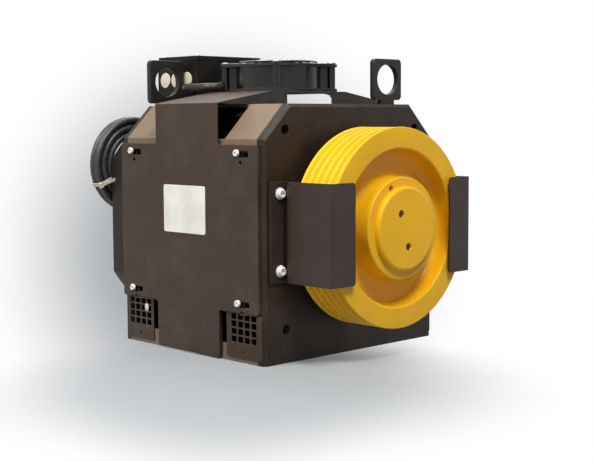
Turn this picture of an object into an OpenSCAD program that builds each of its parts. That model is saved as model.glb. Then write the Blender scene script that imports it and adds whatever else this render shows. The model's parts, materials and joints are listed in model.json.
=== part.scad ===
/* [Front and rear plates] */
// Width of both end plates
plate_w = 322; // [300:1:360]
// Height of both end plates
plate_h = 330; // [315:1:345]
// Thickness of both end plates
plate_t = 12; // [10:1:14]
// Leg of the 45 degree cut at the two top corners
corner_cut = 44.5; // [38:0.5:50]
// Bevel around the outer edge of both plates
plate_bevel = 4; // [2:0.5:5]
// Outside distance from the front plate's face to the rear plate's face
frame_len = 294; // [280:1:310]
// Height of the shaft line above the base
axis_z = 170; // [168:0.5:172]
// Diameter of the four holes in the front plate
face_hole_d = 13; // [11:0.5:16]
// Sideways spacing of the front plate's holes
face_hole_dx = 247; // [230:1:255]
// Height of the lower pair of holes
face_hole_low = 43; // [35:1:55]
// Height of the upper pair of holes
face_hole_high = 297; // [285:1:300]

/* [Base] */
// Thickness of the base plate
base_t = 14; // [10:1:15]
// Width of the base plate
base_w = 300; // [270:1:312]
// Tap drill of the four threaded holes in the base
base_hole_d = 14; // [10:0.5:16]
// Sideways spacing of the base holes
base_hole_dx = 220; // [180:1:240]
// Lengthways spacing of the base holes
base_hole_dy = 200; // [160:1:220]

/* [Casing] */
// Sheet thickness of the octagonal casing
shell_t = 3; // [2:0.5:4]
// How far the side covers stand out from the casing
cover_proud = 6; // [4:0.5:8]
// Sheet thickness of the side covers and the hood
sheet_t = 2; // [1.5:0.5:2.5]
// Distance from the front plate's face to the cover's front edge
cover_inset = 5; // [4.5:0.5:8]
// Height of the cover's shoulders
cover_top = 278.5; // [270:0.5:282]
// Height of the cover's lower edge above the grilles
cover_low = 64.5; // [60:0.5:70]
// Height of the middle of the cover's lower edge
cover_foot = 2; // [1:0.5:4]
// Height of the lower pair of cover screws
cover_screw_low = 77; // [74:1:84]
// Height of the upper pair of cover screws
cover_screw_high = 268; // [258:1:270]
// Distance of the cover screws from the front plate's face
cover_screw_front = 43; // [36:1:50]
// Distance of the cover screws from the rear plate's face
cover_screw_rear = 28; // [24:1:36]
// Head diameter of the cover screws
cover_head_d = 11; // [9:0.5:12]
// Grille thickness
grille_t = 2; // [1.5:0.5:2.5]
// Height of the grilles
grille_h = 58; // [54:1:60]
// Width of one grille opening
grille_cell_w = 9.4; // [8:0.2:10]
// Height of one grille opening
grille_cell_h = 7.5; // [6:0.5:8]
// Lengthways pitch of the grille openings
grille_pitch_y = 12.8; // [12:0.2:13]
// Upright pitch of the grille openings
grille_pitch_z = 9.8; // [9:0.2:10]

/* [Nameplate] */
// Length of the blank nameplate
nameplate_w = 87; // [70:1:100]
// Height of the blank nameplate
nameplate_h = 63.5; // [50:0.5:75]
// Height of its middle
nameplate_z = 192; // [170:1:210]
// Thickness of the nameplate
nameplate_t = 0.8; // [0.5:0.1:1.2]

/* [Cooling fan] */
// Side of the square fan
fan_size = 120; // [115:1:124]
// Height of the fan
fan_h = 38; // [34:1:42]
// Spacing of the fan's four screws
fan_hole_pitch = 105; // [100:0.5:107]
// Thickness of the fan's two square flanges
fan_flange_t = 4; // [3:0.5:5]
// Diameter of the fan's bore
fan_bore_d = 114; // [110:0.5:115]
// Diameter of the fan's hub
fan_hub_d = 62; // [54:1:68]
// Running gap between the blades' tips and the bore
fan_tip_gap = 1.5; // [1:0.1:2.5]
// Number of fan blades
fan_blades = 7; // [5:1:9]
// Distance from the front plate's face to the hood
hood_front = 81; // [78:0.5:84]
// Length of the hood along the shaft
hood_len = 129.5; // [126:0.5:134]
// Height of the flat middle of the hood above the plates
hood_rise = 18.5; // [16:0.5:22]
// Width of the flat middle of the hood
hood_flat_w = 140; // [130:1:150]
// Length of the hood's right wing along the shaft
wing_len = 44; // [36:1:60]
// Width of the open window under the fan
hood_window_w = 86; // [70:1:100]
// Height of the open window under the fan
hood_window_h = 13.5; // [10:0.5:14]

/* [Lifting eyes] */
// Half width of the lifting eyes, which are rounded squares
eye_r = 28; // [26:0.5:29]
// Half width of the head of the rear lifting eye
eye_rear_r = 30.5; // [28:0.5:31]
// Hole diameter of the lifting eyes
eye_hole_d = 41; // [36:0.5:44]
// Thickness of the lifting eyes
eye_t = 8; // [6:0.5:10]
// Height of the eye's hole above the top of the plates
eye_rise = 34; // [32:0.5:40]
// Width of the eye's neck
eye_neck_w = 27; // [24:0.5:30]
// Sideways place of the front eye
eye_front_x = 82; // [70:1:90]
// Sideways place of the rear eye, on the other side
eye_rear_x = 96; // [96:1:98]

/* [Traction sheave] */
// Outside diameter of the sheave
sheave_d = 260; // [250:1:262]
// Number of rope grooves
rope_count = 5; // [3:1:5]
// Rope groove pitch
rope_pitch = 12; // [11:0.5:12.5]
// Rope diameter
rope_d = 6.5; // [6:0.5:8]
// Depth of the rope grooves
groove_depth = 7; // [6:0.5:9]
// Plain rim on either side of the grooves
rim_land = 3; // [2:0.5:4]
// Distance from the front plate's face to the sheave's rear face
sheave_gap = 18; // [16:0.5:20]
// Diameter of the dished recess in the sheave's front face
dish_d = 203; // [190:1:210]
// Depth of the dished recess
dish_depth = 26; // [20:1:32]
// Diameter of the hub's raised ring
hub_ring_d = 133; // [124:1:140]
// How far the hub ring stands out of the rim's face
hub_proud = 4.5; // [2:0.5:6]
// Diameter of the end cap
cap_d = 108; // [98:1:112]
// Thickness of the end cap
cap_t = 7.5; // [6:0.5:10]
// Diameter of the extraction hole in the hub ring
puller_d = 8; // [6:0.5:10]
// Distance between the two cap screws
cap_screw_pitch = 45; // [38:1:50]

/* [Rope guards] */
// Sheet thickness of the rope guards
guard_t = 2.5; // [2:0.5:3]
// Gap between the sheave's rim and the guard
guard_gap = 1.5; // [1:0.5:3]
// Height of the rope guards
guard_h = 127.5; // [110:0.5:135]
// Width of the lip in front of the sheave
guard_lip = 43; // [36:1:48]
// Gap between the sheave's face and the lip
guard_face_gap = 4.5; // [3:0.5:6]
// Width of the flange on the front plate
guard_flange = 31; // [29:1:33]
// Upright spacing of the two guard bolts
guard_bolt_pitch = 98; // [86:1:104]
// Thread diameter of the guard and eye bolts
bolt_d = 8; // [6:1:8]
// Head diameter of the guard and eye bolts
bolt_head_d = 13; // [12:0.5:14]

/* [Shaft and bearings] */
// Shaft diameter in the sheave
sheave_seat_d = 55; // [50:1:57]
// Shaft diameter in both bearings
bearing_seat_d = 60; // [58:1:62]
// Shaft diameter in the rotor
rotor_seat_d = 66; // [64:1:68]
// Shaft diameter in the brake
brake_seat_d = 44; // [40:1:46]
// Outside diameter of the front bearing
front_bearing_d = 110; // [104:1:114]
// Outside diameter of the rear bearing
rear_bearing_d = 95; // [92:1:98]
// Width of both bearings
bearing_w = 22; // [20:1:24]
// Radial running gap of the rollers
roller_gap = 0.05; // [0.02:0.01:0.08]
// Number of rollers in each bearing
roller_count = 14; // [10:1:14]

/* [Motor] */
// Outside diameter of the stator frame
stator_frame_d = 306; // [302:1:308]
// Wall of the stator frame
stator_frame_t = 6; // [5:0.5:8]
// Bore of the stator core
stator_bore_d = 215; // [208:1:222]
// Length of the stator core
stator_len = 120; // [100:1:130]
// Number of stator slots
stator_slots = 24; // [18:6:36]
// Air gap between magnets and stator
air_gap = 1.5; // [1:0.1:2]
// Thickness of the magnets
magnet_t = 6; // [4:0.5:8]
// Number of magnets
magnet_count = 20; // [16:2:24]
// Thickness of the rotor's rim
rotor_rim_t = 14; // [10:1:18]

/* [Brake and encoder] */
// Depth of the rear casing over the brake
brake_cover_len = 70; // [68:1:76]
// Outside diameter of the rear casing
brake_cover_d = 310; // [300:1:314]
// Width across the rear casing's side flats
brake_cover_w = 264; // [256:1:270]
// Diameter of the brake's friction disc
friction_d = 200; // [180:1:206]
// Thickness of the friction disc
friction_t = 12; // [10:0.5:13]
// Diameter of the armature plates
armature_d = 212; // [200:1:216]
// Thickness of the armature plates
armature_t = 12; // [10:0.5:13]
// Air gap of the brake at rest
brake_gap = 0.6; // [0.6:0.05:0.8]
// Diameter of the brake's magnet body
magnet_body_d = 246; // [240:1:250]
// Thickness of the brake's magnet body
magnet_body_t = 28; // [24:1:30]
// Diameter of the encoder's cover
encoder_cover_d = 56; // [54:1:56]
// Depth of the encoder's cover behind the rear casing
encoder_cover_len = 28; // [24:1:32]

/* [Terminal box] */
// Width of the terminal box
tbox_w = 124; // [112:1:126]
// Length of the terminal box along the shaft
tbox_len = 91; // [84:1:93]
// Height of the terminal box with its lid
tbox_h = 72; // [62:1:80]
// Height of the lid
tbox_lid_h = 8; // [6:0.5:10]
// Wall of the terminal box
tbox_t = 3; // [2:0.5:4]
// Overhang of the terminal box behind the rear plate
tbox_over = 46; // [42:1:48]

/* [Cable] */
// Diameter of the encoder cable
cable_d = 10.5; // [9:0.5:11]
// Turns side by side in each layer of the coil
coil_turns = 3; // [2:1:3]
// Radius of the middle of the coil's outermost turn
coil_outer_r = 66; // [64:1:67]
// Length of the hook that carries the coil
hook_len = 38; // [36:1:42]

/* [Hidden] */
$fn = 96;
eps = 0.01;
seat = 0.05;              // clearance of a fixed seat
rest_gap = 0.3;           // gap between faces on different bodies

// Places along the shaft, measured backwards from the front plate's face
rim_w = rope_count * rope_pitch + 2 * rim_land;
sheave_rear = -sheave_gap;
sheave_front = sheave_rear - rim_w;
hub_front = sheave_front - hub_proud;
cap_front = hub_front - cap_t;
casing_front = plate_t;
casing_rear = frame_len - plate_t;
stator_mid = (casing_front + casing_rear) / 2;
stator_front = stator_mid - stator_len / 2;
stator_rear = stator_mid + stator_len / 2;
cover_rear_y = frame_len + brake_cover_len;
overall_rear = cover_rear_y + hook_len;
y_shift = -(cap_front + overall_rear) / 2;

// Heights and side places
chamfer_z = plate_h - corner_cut;
half_w = plate_w / 2;
cover_x = half_w + cover_proud;
hood_rear = hood_front + hood_len;
roof_z = plate_h + hood_rise;
fan_x = -2;
fan_y = hood_front + 1.5 + fan_size / 2;
fan_corner_r = 6;
fan_web_t = 3;           // webs from the fan's barrel to its corner posts

// Rotor and stator radii
stator_bore_r = stator_bore_d / 2;
magnet_r = stator_bore_r - air_gap;
rotor_r = magnet_r - magnet_t;
frame_bore_r = stator_frame_d / 2 - stator_frame_t;

// Bearings
bearing_front_y = plate_t / 2;
bearing_rear_y = casing_rear - bearing_w / 2 + 2;
ring_t = 7;
boss_wall = 12;

// Brake
friction_y = frame_len + rest_gap;
armature_y = friction_y + friction_t + rest_gap;
magnet_y = armature_y + armature_t + brake_gap;
brake_bolt_r = 115;
brake_bolt_d = 8;
brake_inner_r = 40;
spring_count = 6;
spring_r = 98;
spring_depth = 20;
brake_end = magnet_y + magnet_body_t;

// Terminal box
tbox_rear = frame_len + tbox_over;
tbox_front = tbox_rear - tbox_len;
tbox_body_h = tbox_h - tbox_lid_h;
gland_d = 17;
gland_len = 16;

// Coil of the encoder cable, hung behind the rear casing
coil_x = -84;
coil_z = 244;
coil_gap = 3.75;
coil_y = cover_rear_y + coil_gap;
coil_w = 2 * cable_d;
coil_out_r = coil_outer_r + cable_d / 2;
coil_in_r = coil_out_r - coil_turns * cable_d;
lead_x = coil_x + coil_outer_r;
lead_y = coil_y + cable_d / 2;
return_y = lead_y + cable_d;

// ------------------------------------------------------------------ helpers

// Everything is drawn with the front plate's face at y = 0 and moved once
module place() { translate([0, y_shift, 0]) children(); }

// A 2D outline in X and Z, extruded from y0 to y1
module slab(y0, y1) {
    translate([0, y1, 0]) rotate([90, 0, 0]) linear_extrude(y1 - y0) children();
}

// A round bar along the shaft's direction
module bar_y(x, z, r, y0, y1) {
    translate([x, y1, z]) rotate([90, 0, 0]) cylinder(r = r, h = y1 - y0);
}

// A ring along the shaft's direction
module ring_y(r_in, r_out, y0, y1, x = 0, z = axis_z) {
    difference() {
        bar_y(x, z, r_out, y0, y1);
        bar_y(x, z, r_in, y0 - 1, y1 + 1);
    }
}

// A bar across the machine
module bar_x(y, z, r, x0, x1) {
    translate([x0, y, z]) rotate([0, 90, 0]) cylinder(r = r, h = x1 - x0);
}

// A box given by its two corners
module block(a, b) { translate(a) cube(b - a); }

// A radial section (radius, y) turned about the shaft's line
module turned(points) {
    translate([0, 0, axis_z]) rotate([-90, 0, 0]) rotate_extrude() polygon(points);
}

// Copies on both sides of the machine
module both_sides() {
    children();
    mirror([1, 0, 0]) children();
}

// Outline of the end plates, drawn in by a distance
module outline(inset = 0) {
    w = half_w - inset;
    c = corner_cut - inset * (2 - sqrt(2));
    polygon([[-w, inset], [w, inset], [w, plate_h - inset - c], [w - c, plate_h - inset],
             [-w + c, plate_h - inset], [-w, plate_h - inset - c]]);
}

// Edge bevel of a plate whose outer face lies at y and whose metal lies towards dir,
// a little wider on the corner cuts
module edge_bevels(y, dir) {
    b = plate_bevel;
    c = (b + 0.2) * sqrt(2);
    reach = plate_h + plate_w;
    wedge = [[-b - 1, -dir], [1, dir * (b + 1)], [1, -dir]];
    translate([0, y, 0]) {
        for (s = [-1, 1]) translate([s * half_w, 0, -1]) linear_extrude(chamfer_z + 8)
            polygon([for (p = wedge) [s * p[0], p[1]]]);
        translate([-half_w, 0, plate_h]) rotate([90, 0, 90]) linear_extrude(plate_w)
            polygon([for (p = wedge) [p[1], p[0]]]);
        for (s = [-1, 1])
            translate([s * (half_w - corner_cut / 2), 0, plate_h - corner_cut / 2])
                rotate([0, s * 45, 0]) rotate([45, 0, 0])
                    translate([-reach / 2, -c / 2, -c / 2]) cube([reach, c, c]);
    }
}

// Hexagon or cylinder head screw along +Y from its seat
module bolt_y(x, z, d, head_d, head_h, seat_y, len) {
    bar_y(x, z, head_d / 2, seat_y - head_h, seat_y);
    bar_y(x, z, d / 2, seat_y - eps, seat_y + len);
}

// ------------------------------------------------------------ end plates

module front_plate() {
    color("#3e3832") place() difference() {
        union() {
            slab(0, plate_t) outline();
            bar_y(0, axis_z, front_bearing_d / 2 + boss_wall, plate_t - eps,
                  bearing_front_y + bearing_w + 3);
        }
        edge_bevels(0, 1);
        bar_y(0, axis_z, front_bearing_d / 2, bearing_front_y,
              bearing_front_y + bearing_w + 4);
        bar_y(0, axis_z, front_bearing_d / 2 - 4, -1, bearing_front_y + 1);
        for (x = [-1, 1], z = [face_hole_low, face_hole_high])
            bar_y(x * face_hole_dx / 2, z, face_hole_d / 2, -1, plate_t + 1);
        for (x = [-1, 1], z = [-1, 1])
            bar_y(x * guard_bolt_x, axis_z - 1.5 + z * guard_bolt_pitch / 2,
                  bolt_d / 2 + seat, -1, plate_t + 1);
        eye_bolt_holes(eye_front_x, eye_bolt_skin, plate_t + 1);
    }
}

module rear_plate() {
    color("#3e3832") place() difference() {
        union() {
            slab(casing_rear, frame_len) outline();
            bar_y(0, axis_z, rear_bearing_d / 2 + boss_wall, bearing_rear_y - bearing_w / 2,
                  casing_rear + eps);
        }
        edge_bevels(frame_len, -1);
        bar_y(0, axis_z, rear_bearing_d / 2, bearing_rear_y - bearing_w / 2 - 1,
              bearing_rear_y + bearing_w / 2);
        bar_y(0, axis_z, rear_bearing_d / 2 - 4, bearing_rear_y, frame_len + 1);
        for (a = [45:90:315]) brake_bolt_place(a)
            bar_y(0, 0, brake_bolt_d / 2 + seat, casing_rear - 1, frame_len + 1);
        eye_bolt_holes(-eye_rear_x, casing_rear - 1, frame_len - eye_bolt_skin);
    }
}

// Two blind holes below the top edge, for the studs of a lifting eye
module eye_bolt_holes(x, y0, y1) {
    for (s = [-1, 1])
        bar_y(x + s * eye_bolt_dx / 2, eye_bolt_z, bolt_d / 2 + seat, y0, y1);
}
eye_bolt_dx = 14;
eye_bolt_z = plate_h - 9;
eye_bolt_skin = 3;

module base_plate() {
    color("#322c28") place() difference() {
        block([-base_w / 2, casing_front, 0], [base_w / 2, casing_rear, base_t]);
        for (x = [-1, 1], y = [-1, 1])
            translate([x * base_hole_dx / 2, stator_mid + y * base_hole_dy / 2, -1])
                cylinder(r = base_hole_d / 2, h = base_t + 2);
    }
}

tie_rod_d = 10;
tie_rod_x = 138;
tie_rod_low = 78;
tie_rod_high = 262;
module tie_rods() {
    color("#8d8d8a") place() for (x = [-1, 1], z = [tie_rod_low, tie_rod_high])
        bar_y(x * tie_rod_x, z, tie_rod_d / 2, casing_front, casing_rear);
}

// ------------------------------------------------------------------ motor

module stator_frame() {
    color("#45403a") place() difference() {
        ring_y(frame_bore_r, stator_frame_d / 2, casing_front, casing_rear);
        block([-50, fan_y - 48, axis_z], [50, fan_y + 48, plate_h]);
    }
}

module stator_core() {
    slot_w = 10;
    slot_in = stator_bore_r + 3;
    slot_out = frame_bore_r - 10;
    color("#5b5f63") place() translate([0, stator_rear, axis_z]) rotate([90, 0, 0])
        linear_extrude(stator_len) difference() {
            circle(r = frame_bore_r);
            circle(r = stator_bore_r);
            for (i = [0:stator_slots - 1]) rotate([0, 0, i * 360 / stator_slots])
                translate([slot_in, -slot_w / 2]) square([slot_out - slot_in, slot_w]);
        }
}

winding_w = 24;
module stator_windings() {
    r0 = stator_bore_r + 6;
    r1 = frame_bore_r - 8;
    c = 6;
    color("#a8622f") place() for (y = [stator_front - winding_w, stator_rear])
        turned([[r0 + c, y], [r1 - c, y], [r1, y + c], [r1, y + winding_w - c],
                [r1 - c, y + winding_w], [r0 + c, y + winding_w], [r0, y + winding_w - c],
                [r0, y + c]]);
}

module rotor_drum() {
    hub_r = rotor_seat_d / 2 + 14;
    web = 10;
    color("#4a4c50") place() turned([
        [rotor_seat_d / 2, stator_front], [hub_r, stator_front], [hub_r, stator_mid - web],
        [rotor_r - rotor_rim_t, stator_mid - web], [rotor_r - rotor_rim_t, stator_front],
        [rotor_r, stator_front], [rotor_r, stator_rear],
        [rotor_r - rotor_rim_t, stator_rear], [rotor_r - rotor_rim_t, stator_mid + web],
        [hub_r, stator_mid + web], [hub_r, stator_rear], [rotor_seat_d / 2, stator_rear]]);
}

module rotor_magnets() {
    gap_w = 4;
    color("#6f7277") place() translate([0, stator_rear - 2, axis_z]) rotate([90, 0, 0])
        linear_extrude(stator_len - 4) difference() {
            circle(r = magnet_r);
            circle(r = rotor_r);
            for (i = [0:magnet_count - 1]) rotate([0, 0, i * 360 / magnet_count])
                translate([rotor_r - 2, -gap_w / 2]) square([magnet_t + 4, gap_w]);
        }
}

module main_shaft() {
    r1 = sheave_seat_d / 2;
    r2 = bearing_seat_d / 2;
    r3 = rotor_seat_d / 2;
    r4 = brake_seat_d / 2;
    r5 = 6;
    y1 = hub_front;
    y2 = sheave_rear;
    y3 = bearing_front_y + bearing_w;
    y4 = stator_front;
    y5 = stator_rear;
    y6 = bearing_rear_y + bearing_w / 2;
    y7 = brake_end;
    y8 = brake_end + 24;
    color("#b7bbbf") place() turned([
        [0, y1], [r1, y1], [r1, y2], [r2, y2], [r2, y3], [r3 + 4, y3], [r3 + 4, y4],
        [r3, y4], [r3, y5], [r2, y5], [r2, y6], [r4, y6], [r4, y7], [r5, y7], [r5, y8],
        [0, y8]]);
}

module bearing_outer_rings() {
    color("#c4c8cc") place() {
        ring_y(front_bearing_d / 2 - ring_t, front_bearing_d / 2, bearing_front_y,
               bearing_front_y + bearing_w);
        ring_y(rear_bearing_d / 2 - ring_t, rear_bearing_d / 2,
               bearing_rear_y - bearing_w / 2, bearing_rear_y + bearing_w / 2);
    }
}

module bearing_inner_rings() {
    color("#c4c8cc") place() {
        ring_y(bearing_seat_d / 2, bearing_seat_d / 2 + ring_t, bearing_front_y,
               bearing_front_y + bearing_w);
        ring_y(bearing_seat_d / 2, bearing_seat_d / 2 + ring_t,
               bearing_rear_y - bearing_w / 2, bearing_rear_y + bearing_w / 2);
    }
}

// One ring of rollers between the two rings of a bearing
module roller_ring(outer_d, y0, y1) {
    r_in = bearing_seat_d / 2 + ring_t;
    r_out = outer_d / 2 - ring_t;
    r = (r_out - r_in) / 2 - roller_gap;
    for (i = [0:roller_count - 1]) {
        a = i * 360 / roller_count;
        bar_y((r_in + r_out) / 2 * cos(a), axis_z + (r_in + r_out) / 2 * sin(a), r,
              y0 + 3, y1 - 3);
    }
}

module bearing_rollers() {
    color("#d5d8da") place() {
        roller_ring(front_bearing_d, bearing_front_y, bearing_front_y + bearing_w);
        roller_ring(rear_bearing_d, bearing_rear_y - bearing_w / 2,
                    bearing_rear_y + bearing_w / 2);
    }
}

module front_bearing_cap() {
    color("#3a3530") place() difference() {
        ring_y(bearing_seat_d / 2 + 4, front_bearing_d / 2 + 10, -6, 0);
        for (a = [30:60:330])
            bar_y((front_bearing_d / 2 + 5) * cos(a), axis_z + (front_bearing_d / 2 + 5) * sin(a),
                  2.5, -7, -2);
    }
}

// ------------------------------------------------------------ casing

eye_slot = 0.4;
module casing_shell() {
    duct_x = half_w - corner_cut - 2;
    low_z = [22, cover_low - 2];
    color("#8b8074") place() difference() {
        slab(casing_front, casing_rear) difference() {
            outline();
            outline(shell_t);
            translate([0, -1]) square([plate_w - 2 * shell_t, 2 * shell_t + 4], center = true);
        }
        // duct openings in both chamfers and the air hole under the fan
        for (s = [[-half_w - 1, -duct_x, hood_rear], [duct_x, half_w + 1, hood_front + wing_len]])
            block([s[0], hood_front - 8, chamfer_z], [s[1], s[2] + 8, plate_h + 1]);
        translate([fan_x, fan_y, plate_h - 10]) cylinder(r = fan_bore_d / 2 - 2, h = 20);
        // big window behind each cover and one behind each grille
        both_sides() {
            block([half_w - 10, 62, cover_low + 28], [half_w + 1, casing_rear - 50, 248]);
            block([half_w - 10, casing_front + 2, low_z[0]],
                  [half_w + 1, hood_front + 4, low_z[1]]);
            block([half_w - 10, hood_rear - 4, low_z[0]],
                  [half_w + 1, casing_rear - 2, low_z[1]]);
        }
        // slots for the lifting eyes
        for (e = [[eye_front_x, casing_front, 1], [-eye_rear_x, casing_rear - eye_t, 0]])
            block([e[0] - eye_neck_w / 2 - eye_slot, e[1] - (1 - e[2]) * eye_slot, plate_h - 12],
                  [e[0] + eye_neck_w / 2 + eye_slot, e[1] + eye_t + e[2] * eye_slot,
                   plate_h + 1]);
        // tapped holes of the cover and grille screws
        both_sides() for (p = side_screws) {
            bar_x(p[0], p[1], 3, half_w - 8, half_w + 1);
            block([half_w - 8, p[0] - 21, p[1] - 5.5], [half_w + 1, p[0] - 3.5, p[1] + 2.5]);
        }
    }
}

grille_front_start = 3.6;
grille_front_end = 71;
grille_rear_start = 226;
grille_rear_end = frame_len - 9.3;
grille_z = 5.5;
cover_screw_y = [cover_screw_front, frame_len - cover_screw_rear];
cover_screw_z = [cover_screw_low, cover_screw_high];
side_screws = [for (y = cover_screw_y, z = cover_screw_z) [y, z]];

// Right side cover: a folded sheet with keyhole slots, a foot and a tab up to the hood
module side_cover(tab_rear) {
    y0 = cover_inset;
    y1 = frame_len - cover_inset;
    x1 = cover_x;
    x0 = cover_x - sheet_t;
    difference() {
        union() {
            block([x0, y0, cover_low], [x1, y1, cover_top]);
            block([x0, hood_front, cover_foot], [x1, hood_rear, cover_low + eps]);
            block([x0, hood_front, cover_top - eps], [x1, tab_rear, plate_h]);
            // turned-in edges that rest on the casing and the plates
            for (y = [y0, y1 - sheet_t])
                block([half_w, y, cover_low], [x0 + eps, y + sheet_t, cover_top]);
            for (y = [hood_front, hood_rear - sheet_t])
                block([half_w, y, cover_foot], [x0 + eps, y + sheet_t, cover_low + eps]);
            for (s = [[y0, hood_front], [tab_rear, y1]])
                block([half_w, s[0], cover_top - sheet_t], [x0 + eps, s[1], cover_top]);
        }
        for (p = side_screws) {
            block([half_w - 1, p[0] - 21, p[1] - 5.5], [x1 + 1, p[0] - 2, p[1] + 2.5]);
            bar_x(p[0], p[1], 3.2, half_w - 1, x1 + 1);
            bar_x(p[0] - 6, p[1] - 12, 2.5, x0 - 1, x1 + 1);
        }
    }
}

module side_cover_right() { color("#4a4239") place() side_cover(hood_front + wing_len); }
module side_cover_left() { color("#4a4239") place() mirror([1, 0, 0]) side_cover(hood_rear); }

// One grille plate between y0 and y1 on the right side of the casing
module grille(y0, y1, screw_y) {
    rows = 4;
    cols = 4;
    mid = (y0 + y1) / 2;
    difference() {
        block([half_w, y0, grille_z], [half_w + grille_t, y1, grille_z + grille_h]);
        for (i = [0:cols - 1], j = [0:rows - 1])
            translate([half_w - 1, mid + (i - (cols - 1) / 2) * grille_pitch_y - grille_cell_w / 2,
                       cover_low - grille_cell_h - 0.5 - j * grille_pitch_z - 0.6])
                cube([grille_t + 2, grille_cell_w, grille_cell_h]);
        bar_x(mid, grille_z + 8, 2.2, half_w - 1, half_w + grille_t + 1);
    }
}

module vent_grilles() {
    color("#4b423b") place() both_sides() {
        grille(grille_front_start, grille_front_end);
        grille(grille_rear_start, grille_rear_end);
    }
}

module cover_screws() {
    color("#b9b9b4") place() both_sides() for (p = side_screws) {
        bar_x(p[0], p[1], cover_head_d / 2, cover_x, cover_x + 3.5);
        bar_x(p[0], p[1], 2.9, half_w - 8, cover_x + eps);
    }
}

module nameplate() {
    mid = hood_front + hood_len / 2 + 4;
    color("#e6e4da") place()
        block([-cover_x - nameplate_t, mid - nameplate_w / 2, nameplate_z - nameplate_h / 2],
              [-cover_x, mid + nameplate_w / 2, nameplate_z + nameplate_h / 2]);
}

eye_corner_r = 6;
// Lifting eye whose face starts at y
module lifting_eye(x, y, r) {
    z = plate_h + eye_rise;
    foot = plate_h - 19;
    a = r - eye_corner_r;
    difference() {
        union() {
            slab(y, y + eye_t) translate([x, z]) {
                square([2 * r, 2 * a], center = true);
                square([2 * a, 2 * r], center = true);
                for (i = [-1, 1], j = [-1, 1]) translate([i * a, j * a])
                    circle(r = eye_corner_r);
            }
            block([x - eye_neck_w / 2, y, foot], [x + eye_neck_w / 2, y + eye_t, z - a]);
        }
        bar_y(x, z, eye_hole_d / 2, y - 1, y + eye_t + 1);
        for (s = [-1, 1])
            bar_y(x + s * eye_bolt_dx / 2, eye_bolt_z, bolt_d / 2 + seat, y - 1, y + eye_t + 1);
    }
}

module lifting_eye_front() { color("#2f2a27") place() lifting_eye(eye_front_x, casing_front, eye_r); }
module lifting_eye_rear() {
    color("#2f2a27") place() lifting_eye(-eye_rear_x, casing_rear - eye_t, eye_rear_r);
}

// Bolts of the rope guards and studs of the lifting eyes
module frame_bolts() {
    head_h = 5.5;
    z_mid = axis_z - 1.5;
    color("#9a9a96") place() {
        for (x = [-1, 1], z = [-1, 1])
            bolt_y(x * guard_bolt_x, z_mid + z * guard_bolt_pitch / 2, bolt_d, bolt_head_d,
                   head_h, -guard_t, guard_t + plate_t);
        for (s = [-1, 1]) {
            bar_y(eye_front_x + s * eye_bolt_dx / 2, eye_bolt_z, bolt_d / 2, eye_bolt_skin,
                  casing_front + eye_t);
            bar_y(-eye_rear_x + s * eye_bolt_dx / 2, eye_bolt_z, bolt_d / 2,
                  casing_rear - eye_t, frame_len - eye_bolt_skin);
        }
    }
}

// ------------------------------------------------------------ cooling fan

// Upper line of the hood, in X and Z
function hood_line(drop) = [
    [-cover_x, plate_h + sheet_t - drop], [-hood_flat_w / 2, roof_z - drop],
    [hood_flat_w / 2, roof_z - drop], [cover_x, plate_h + sheet_t - drop]];

module fan_hood() {
    win_z = plate_h + 1.5;
    leg_x = half_w - corner_cut + 30;
    color("#827669") place() difference() {
        union() {
            slab(hood_front, hood_rear)
                polygon(concat(hood_line(0), [for (i = [3:-1:0]) hood_line(sheet_t)[i]]));
            slab(hood_front, hood_front + sheet_t)
                polygon(concat(hood_line(eps), [[leg_x, plate_h], [-leg_x, plate_h]]));
            slab(hood_rear - sheet_t, hood_rear) intersection() {
                polygon(concat(hood_line(eps), [[leg_x, plate_h], [-leg_x, plate_h]]));
                translate([-cover_x, plate_h]) square([cover_x + hood_flat_w / 2, 2 * hood_rise]);
            }
        }
        block([hood_flat_w / 2, hood_front + wing_len, plate_h - 1],
              [cover_x + 1, hood_rear + 1, roof_z + 1]);
        translate([fan_x, fan_y, roof_z - 10]) cylinder(r = fan_bore_d / 2, h = 20);
        block([-hood_window_w / 2, hood_front - 1, win_z],
              [hood_window_w / 2, hood_rear + 1, win_z + hood_window_h]);
        for (x = [-1, 1], y = [-1, 1])
            translate([fan_x + x * fan_hole_pitch / 2, fan_y + y * fan_hole_pitch / 2,
                       roof_z - 10]) cylinder(r = 2.1, h = 20);
    }
}

module fan_square(z0, z1) {
    s = fan_size / 2 - fan_corner_r;
    translate([fan_x, fan_y, z0]) linear_extrude(z1 - z0) union() {
        square([fan_size, 2 * s], center = true);
        square([2 * s, fan_size], center = true);
        for (x = [-1, 1], y = [-1, 1]) translate([x * s, y * s]) circle(r = fan_corner_r);
    }
}

module fan_frame() {
    top = roof_z + fan_h;
    color("#1c1c1e") place() difference() {
        union() {
            fan_square(roof_z, roof_z + fan_flange_t);
            fan_square(top - fan_flange_t, top);
            translate([fan_x, fan_y, roof_z]) cylinder(r = fan_size / 2 - 1, h = fan_h);
            for (x = [-1, 1], y = [-1, 1])
                translate([fan_x + x * fan_hole_pitch / 2, fan_y + y * fan_hole_pitch / 2,
                           roof_z]) cylinder(r = 5.5, h = fan_h);
            for (x = [-1, 1], y = [-1, 1])
                translate([fan_x, fan_y, roof_z + 1]) rotate([0, 0, x * y * 45])
                    translate([x > 0 ? 50 : -72, -fan_web_t / 2, 0])
                        cube([22, fan_web_t, fan_h - 2]);
        }
        translate([fan_x, fan_y, roof_z - 1]) cylinder(r = fan_bore_d / 2, h = fan_h + 2);
        for (x = [-1, 1], y = [-1, 1])
            translate([fan_x + x * fan_hole_pitch / 2, fan_y + y * fan_hole_pitch / 2,
                       roof_z - 1]) cylinder(r = 2.15, h = fan_h + 2);
    }
}

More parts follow.
